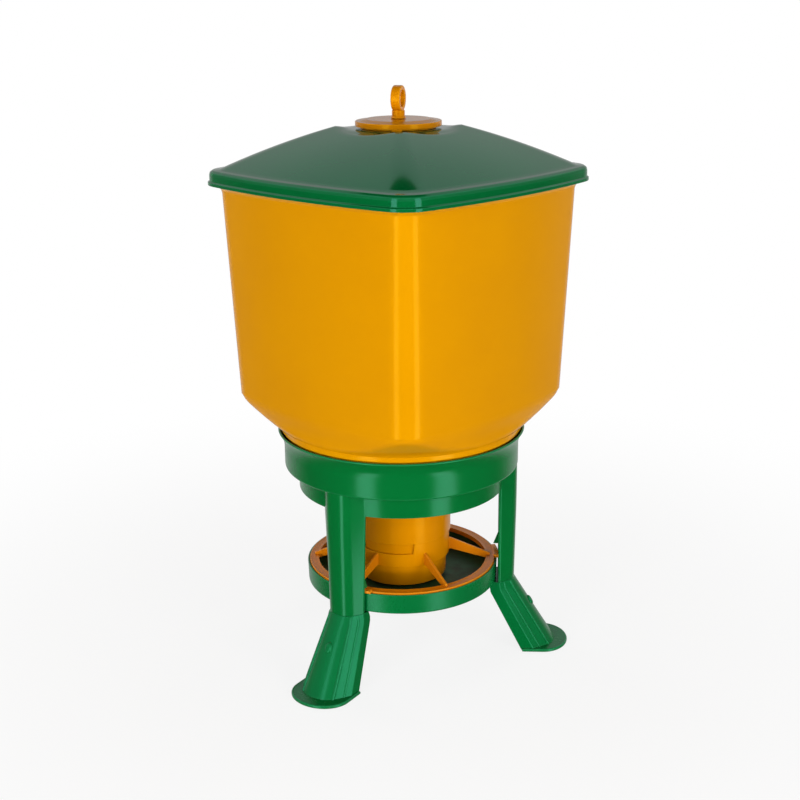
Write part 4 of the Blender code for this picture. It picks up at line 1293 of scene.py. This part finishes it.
ROOF_REACH = roof_edge(0)


def roof_height(distance):
    """Height of the roof along a hip, at a distance from the axis."""
    rise = ROOF_SLOPE * (ROOF_REACH - distance) + ROOF_BOW * (ROOF_REACH ** 2 - distance ** 2)
    return LID_SEAT + ROOF_LIFT + rise


def roof_ring(share, drop):
    ring = []
    for bearing in BEARINGS:
        edge = roof_edge(bearing)
        radius = between(CROWN, edge, share)
        ring.append(polar(radius, bearing, roof_height(radius * ROOF_REACH / edge) - drop))
    return ring


DISH = roof_height(CROWN) - 0.0025


def dish_ring(share, drop):
    """Ring between the flat under the cap and the roof, eased at both ends."""
    eased = share * share * (3 - 2 * share)
    ring = []
    for bearing in BEARINGS:
        top = roof_height(CROWN * ROOF_REACH / roof_edge(bearing))
        ring.append(polar(between(DISH_RADIUS, CROWN, share), bearing, between(DISH, top, eased) - drop))
    return ring


print("roof rises", round(DISH - roof_height(ROOF_REACH), 4), "m from its edge to the dish")

# %% Loft the lid
LID_HOLE = 0.0302
DISH_FLAT = 0.05
SKIRT_FOOT = LID_SEAT - 0.0143


def lid_mesh():
    shoulder = roof_height(ROOF_REACH)
    rings = [round_ring(LID_HOLE, DISH - 0.0004), round_ring(LID_HOLE + 0.0004, DISH)]
    rings += [round_ring(DISH_FLAT, DISH)]
    rings += [dish_ring(step / 5, 0) for step in range(5)]
    rings += [roof_ring(step / 24, 0) for step in range(25)]
    skirt = [(-0.0085, shoulder - 0.0004), (-0.004, shoulder - 0.001), (-0.0008, shoulder - 0.0032),
             (0.0, shoulder - 0.0065), (0.0, SKIRT_FOOT + 0.005), (0.002, SKIRT_FOOT + 0.0036),
             (0.002, SKIRT_FOOT), (-LID_WALL, SKIRT_FOOT), (-LID_WALL, LID_SEAT)]
    soft = [0, 0.003, 0.0028, 0.003, 0.0012, 0.0008, 0.0006, 0.0005, 0.0015]
    rings += [square_ring(LID_HALF + outset, LID_CORNER + outset, height)
              for outset, height in rounded(skirt, soft, 4, False)]
    rings += [square_ring(ROOF_HALF, LID_CORNER, LID_SEAT)]
    rings += [roof_ring(step / 10, LID_WALL) for step in range(9, -1, -1)]
    rings += [dish_ring(step / 3, LID_WALL) for step in (2, 1, 0)]
    rings += [round_ring(LID_HOLE, DISH - LID_WALL)]
    return skin("lid", rings)


dress(lid_mesh(), "hipped_lid", plastics["lid"], "lid_unit", "lid_green", "lid")

# %% [markdown]
# ## Cap and lock ring
# The cap closes the hole in the lid's crown and carries the eye. Its disc has a rounded edge and a raised
# middle, its spigot goes through the lid, and a small tab keys it to the flat. Underneath a ring with
# finger grips locks it. The grips could be a bump in the finish, but that leaves a smooth outline, so
# the repeating tree makes them as real ribs.

# %% Turn the cap
CAP_SEAT = DISH + SEAT_GAP
CAP_FOOT = CAP_SEAT + 0.0022
CAP_TOP = CAP_FOOT + 0.008
CAP_EDGE = CAP_FOOT + 0.006
CAP_RADIUS = 0.0503
CAP_PLATE = 0.0055
CAP_HOLE = 0.0065
SPIGOT = LID_HOLE - 0.001
SPIGOT_WALL = 0.0035
SPIGOT_FOOT = DISH - 0.0135


def cap_mesh():
    bore = SPIGOT - SPIGOT_WALL
    profile = [(CAP_HOLE, CAP_TOP), (0.038, CAP_TOP), (0.0455, CAP_EDGE), (CAP_RADIUS, CAP_EDGE),
               (CAP_RADIUS, CAP_FOOT), (0.044, CAP_FOOT), (0.044, CAP_SEAT), (SPIGOT, CAP_SEAT),
               (SPIGOT, SPIGOT_FOOT), (bore, SPIGOT_FOOT), (bore, CAP_TOP - CAP_PLATE),
               (CAP_HOLE, CAP_TOP - CAP_PLATE)]
    soft = [0.0003, 0.0025, 0.002, 0.0012, 0.0008, 0.0006, 0.0004, 0.0008, 0.0006, 0.0006, 0.0015, 0.0004]
    return lathe("cap", rounded(profile, soft, 5), 144)


tab_section = rectangle(0.043, 0.0495, CAP_SEAT, CAP_FOOT + 0.001)
tab = softened(sector_mesh("tab", tab_section, -101, -87), 0.0005)
dress(gather("cap", [cap_mesh(), tab]), "lid_cap_with_tab",
      plastics["cap"], "lid_unit", "cap_amber", "lid_cap")

# %% Turn the lock ring and its grips
def lock_ring_mesh():
    inner = 0.0297
    tips = inner + 0.0105
    outer = tips - 0.0012
    top = DISH - LID_WALL - SEAT_GAP
    profile = rectangle(inner, outer, top, top - 0.008)
    grip = [(tips - 0.002, -0.0012), (tips - 0.0002, -0.0009), (tips, 0), (tips - 0.0002, 0.0009),
            (tips - 0.002, 0.0012)]
    grips = stack("grip", [(height, grip) for height in (top - 0.0074, top - 0.0006)])
    return gather("lock_ring", [lathe("ring", rounded(profile, 0.0006, 3), 96),
                                repeated(grips, 36, 0, plastics["lock_ring"])])


dress(lock_ring_mesh(), "cap_lock_ring_with_grips",
      plastics["lock_ring"], "lid_unit", "lock_ring_green", "cap_lock_ring")

# %% [markdown]
# ## The hanging eye
# The eye is one small moulding, with no seam where its loop runs into the neck. The fillets could be
# drawn point by point. Here two rough shapes, a loop and a stem, are remeshed into one skin and
# smoothed, which gives the same soft fillets without drawing them.

# %% Grow the eye from rough shapes
EYE_CENTRE = CAP_TOP + 0.0227
EYE_RADIUS = 0.0122
EYE_TURN = 72


def eye_loop():
    """Flat ring with rounded edges, standing upright."""
    section = rounded([(0.0027, -0.0055), (0.0027, 0.0055), (-0.0027, 0.0055), (-0.0027, -0.0055)], 0.0017)
    rings = []
    for step in range(72):
        around = 2 * math.pi * step / 72
        rings.append([((EYE_RADIUS + out) * math.cos(around), across,
                       EYE_CENTRE + (EYE_RADIUS + out) * math.sin(around)) for out, across in section])
    return skin("loop", rings)


def eye_stem():
    base = CAP_TOP + SEAT_GAP
    shank_foot = CAP_TOP - 0.0207
    profile = [(0, shank_foot), (0.0055, shank_foot), (0.006, shank_foot + 0.0006), (0.006, base),
               (0.0088, base), (0.0088, base + 0.0011), (0.0075, base + 0.0022), (0.0075, base + 0.0087),
               (0.0065, base + 0.0097), (0.0027, EYE_CENTRE - EYE_RADIUS), (0, EYE_CENTRE - EYE_RADIUS)]
    return lathe("stem", profile, 64, False)


eye = show(gather("eye", [eye_loop(), eye_stem()]), "rough_eye")
remesh = eye.modifiers.new("one_skin", "REMESH")
remesh.mode = "VOXEL"
remesh.voxel_size = 0.00045
smooth = eye.modifiers.new("fillets", "SMOOTH")
smooth.factor = 0.5
smooth.iterations = 6
dress(moved(applied(eye), about_axis(EYE_TURN)), "hanging_eye_moulding",
      plastics["eye"], "hook_unit", "eye_amber", "hanging_eye")

# %% [markdown]
# ## Washer and nut
# A washer and a nut under the cap hold the eye's shank. The nut could be a plain prism with six sides,
# but its chamfered ends are what makes a hexagon read as a nut. One formula gives the flats, and a limit
# on each ring cuts the corners back.

# %% Make the washer and the nut
WASHER_TOP = CAP_TOP - CAP_PLATE - SEAT_GAP
WASHER_FOOT = WASHER_TOP - 0.0016
WASHER_RADIUS = 0.012
NUT_TOP = WASHER_FOOT - SEAT_GAP
NUT_FOOT = NUT_TOP - 0.01
NUT_BORE = 0.0063
NUT_HALF = 0.0095
NUT_BEARINGS = range(0, 360, 5)


def nut_ring(height, limit):
    """Hexagon whose corners are cut back to a limit, which gives the chamfers."""
    ring = []
    for bearing in NUT_BEARINGS:
        reach = NUT_HALF / math.cos(math.radians(bearing % 60 - 30))
        ring.append(polar(min(reach, limit), bearing, height))
    return ring


def nut_mesh():
    rings = [nut_ring(NUT_FOOT, 0.0096), nut_ring(NUT_FOOT + 0.0008, 0.0111),
             nut_ring(NUT_TOP - 0.0008, 0.0111), nut_ring(NUT_TOP, 0.0096)]
    for height in (NUT_TOP, NUT_FOOT):
        rings.append([polar(NUT_BORE, bearing, height) for bearing in NUT_BEARINGS])
    return skin("nut", rings)


washer_profile = rectangle(CAP_HOLE, WASHER_RADIUS, WASHER_TOP, WASHER_FOOT)
dress(lathe("washer", rounded(washer_profile, 0.0003, 3), 72), "washer",
      zinc_plate, "hook_unit", "washer_steel", "eye_washer")
dress(nut_mesh(), "nut", zinc_plate, "hook_unit", "nut_steel", "eye_nut")

# %% [markdown]
# ## Measure
# The dressed model must be as big as the CAD model, so both boxes are printed side by side.

# %% Print the sizes
own_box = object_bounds()
for name, corner, own in zip(("low", "high"), cad_box, own_box):
    print(name, "corner, CAD and dressed:", [round(v, 4) for v in corner], [round(v, 4) for v in own])
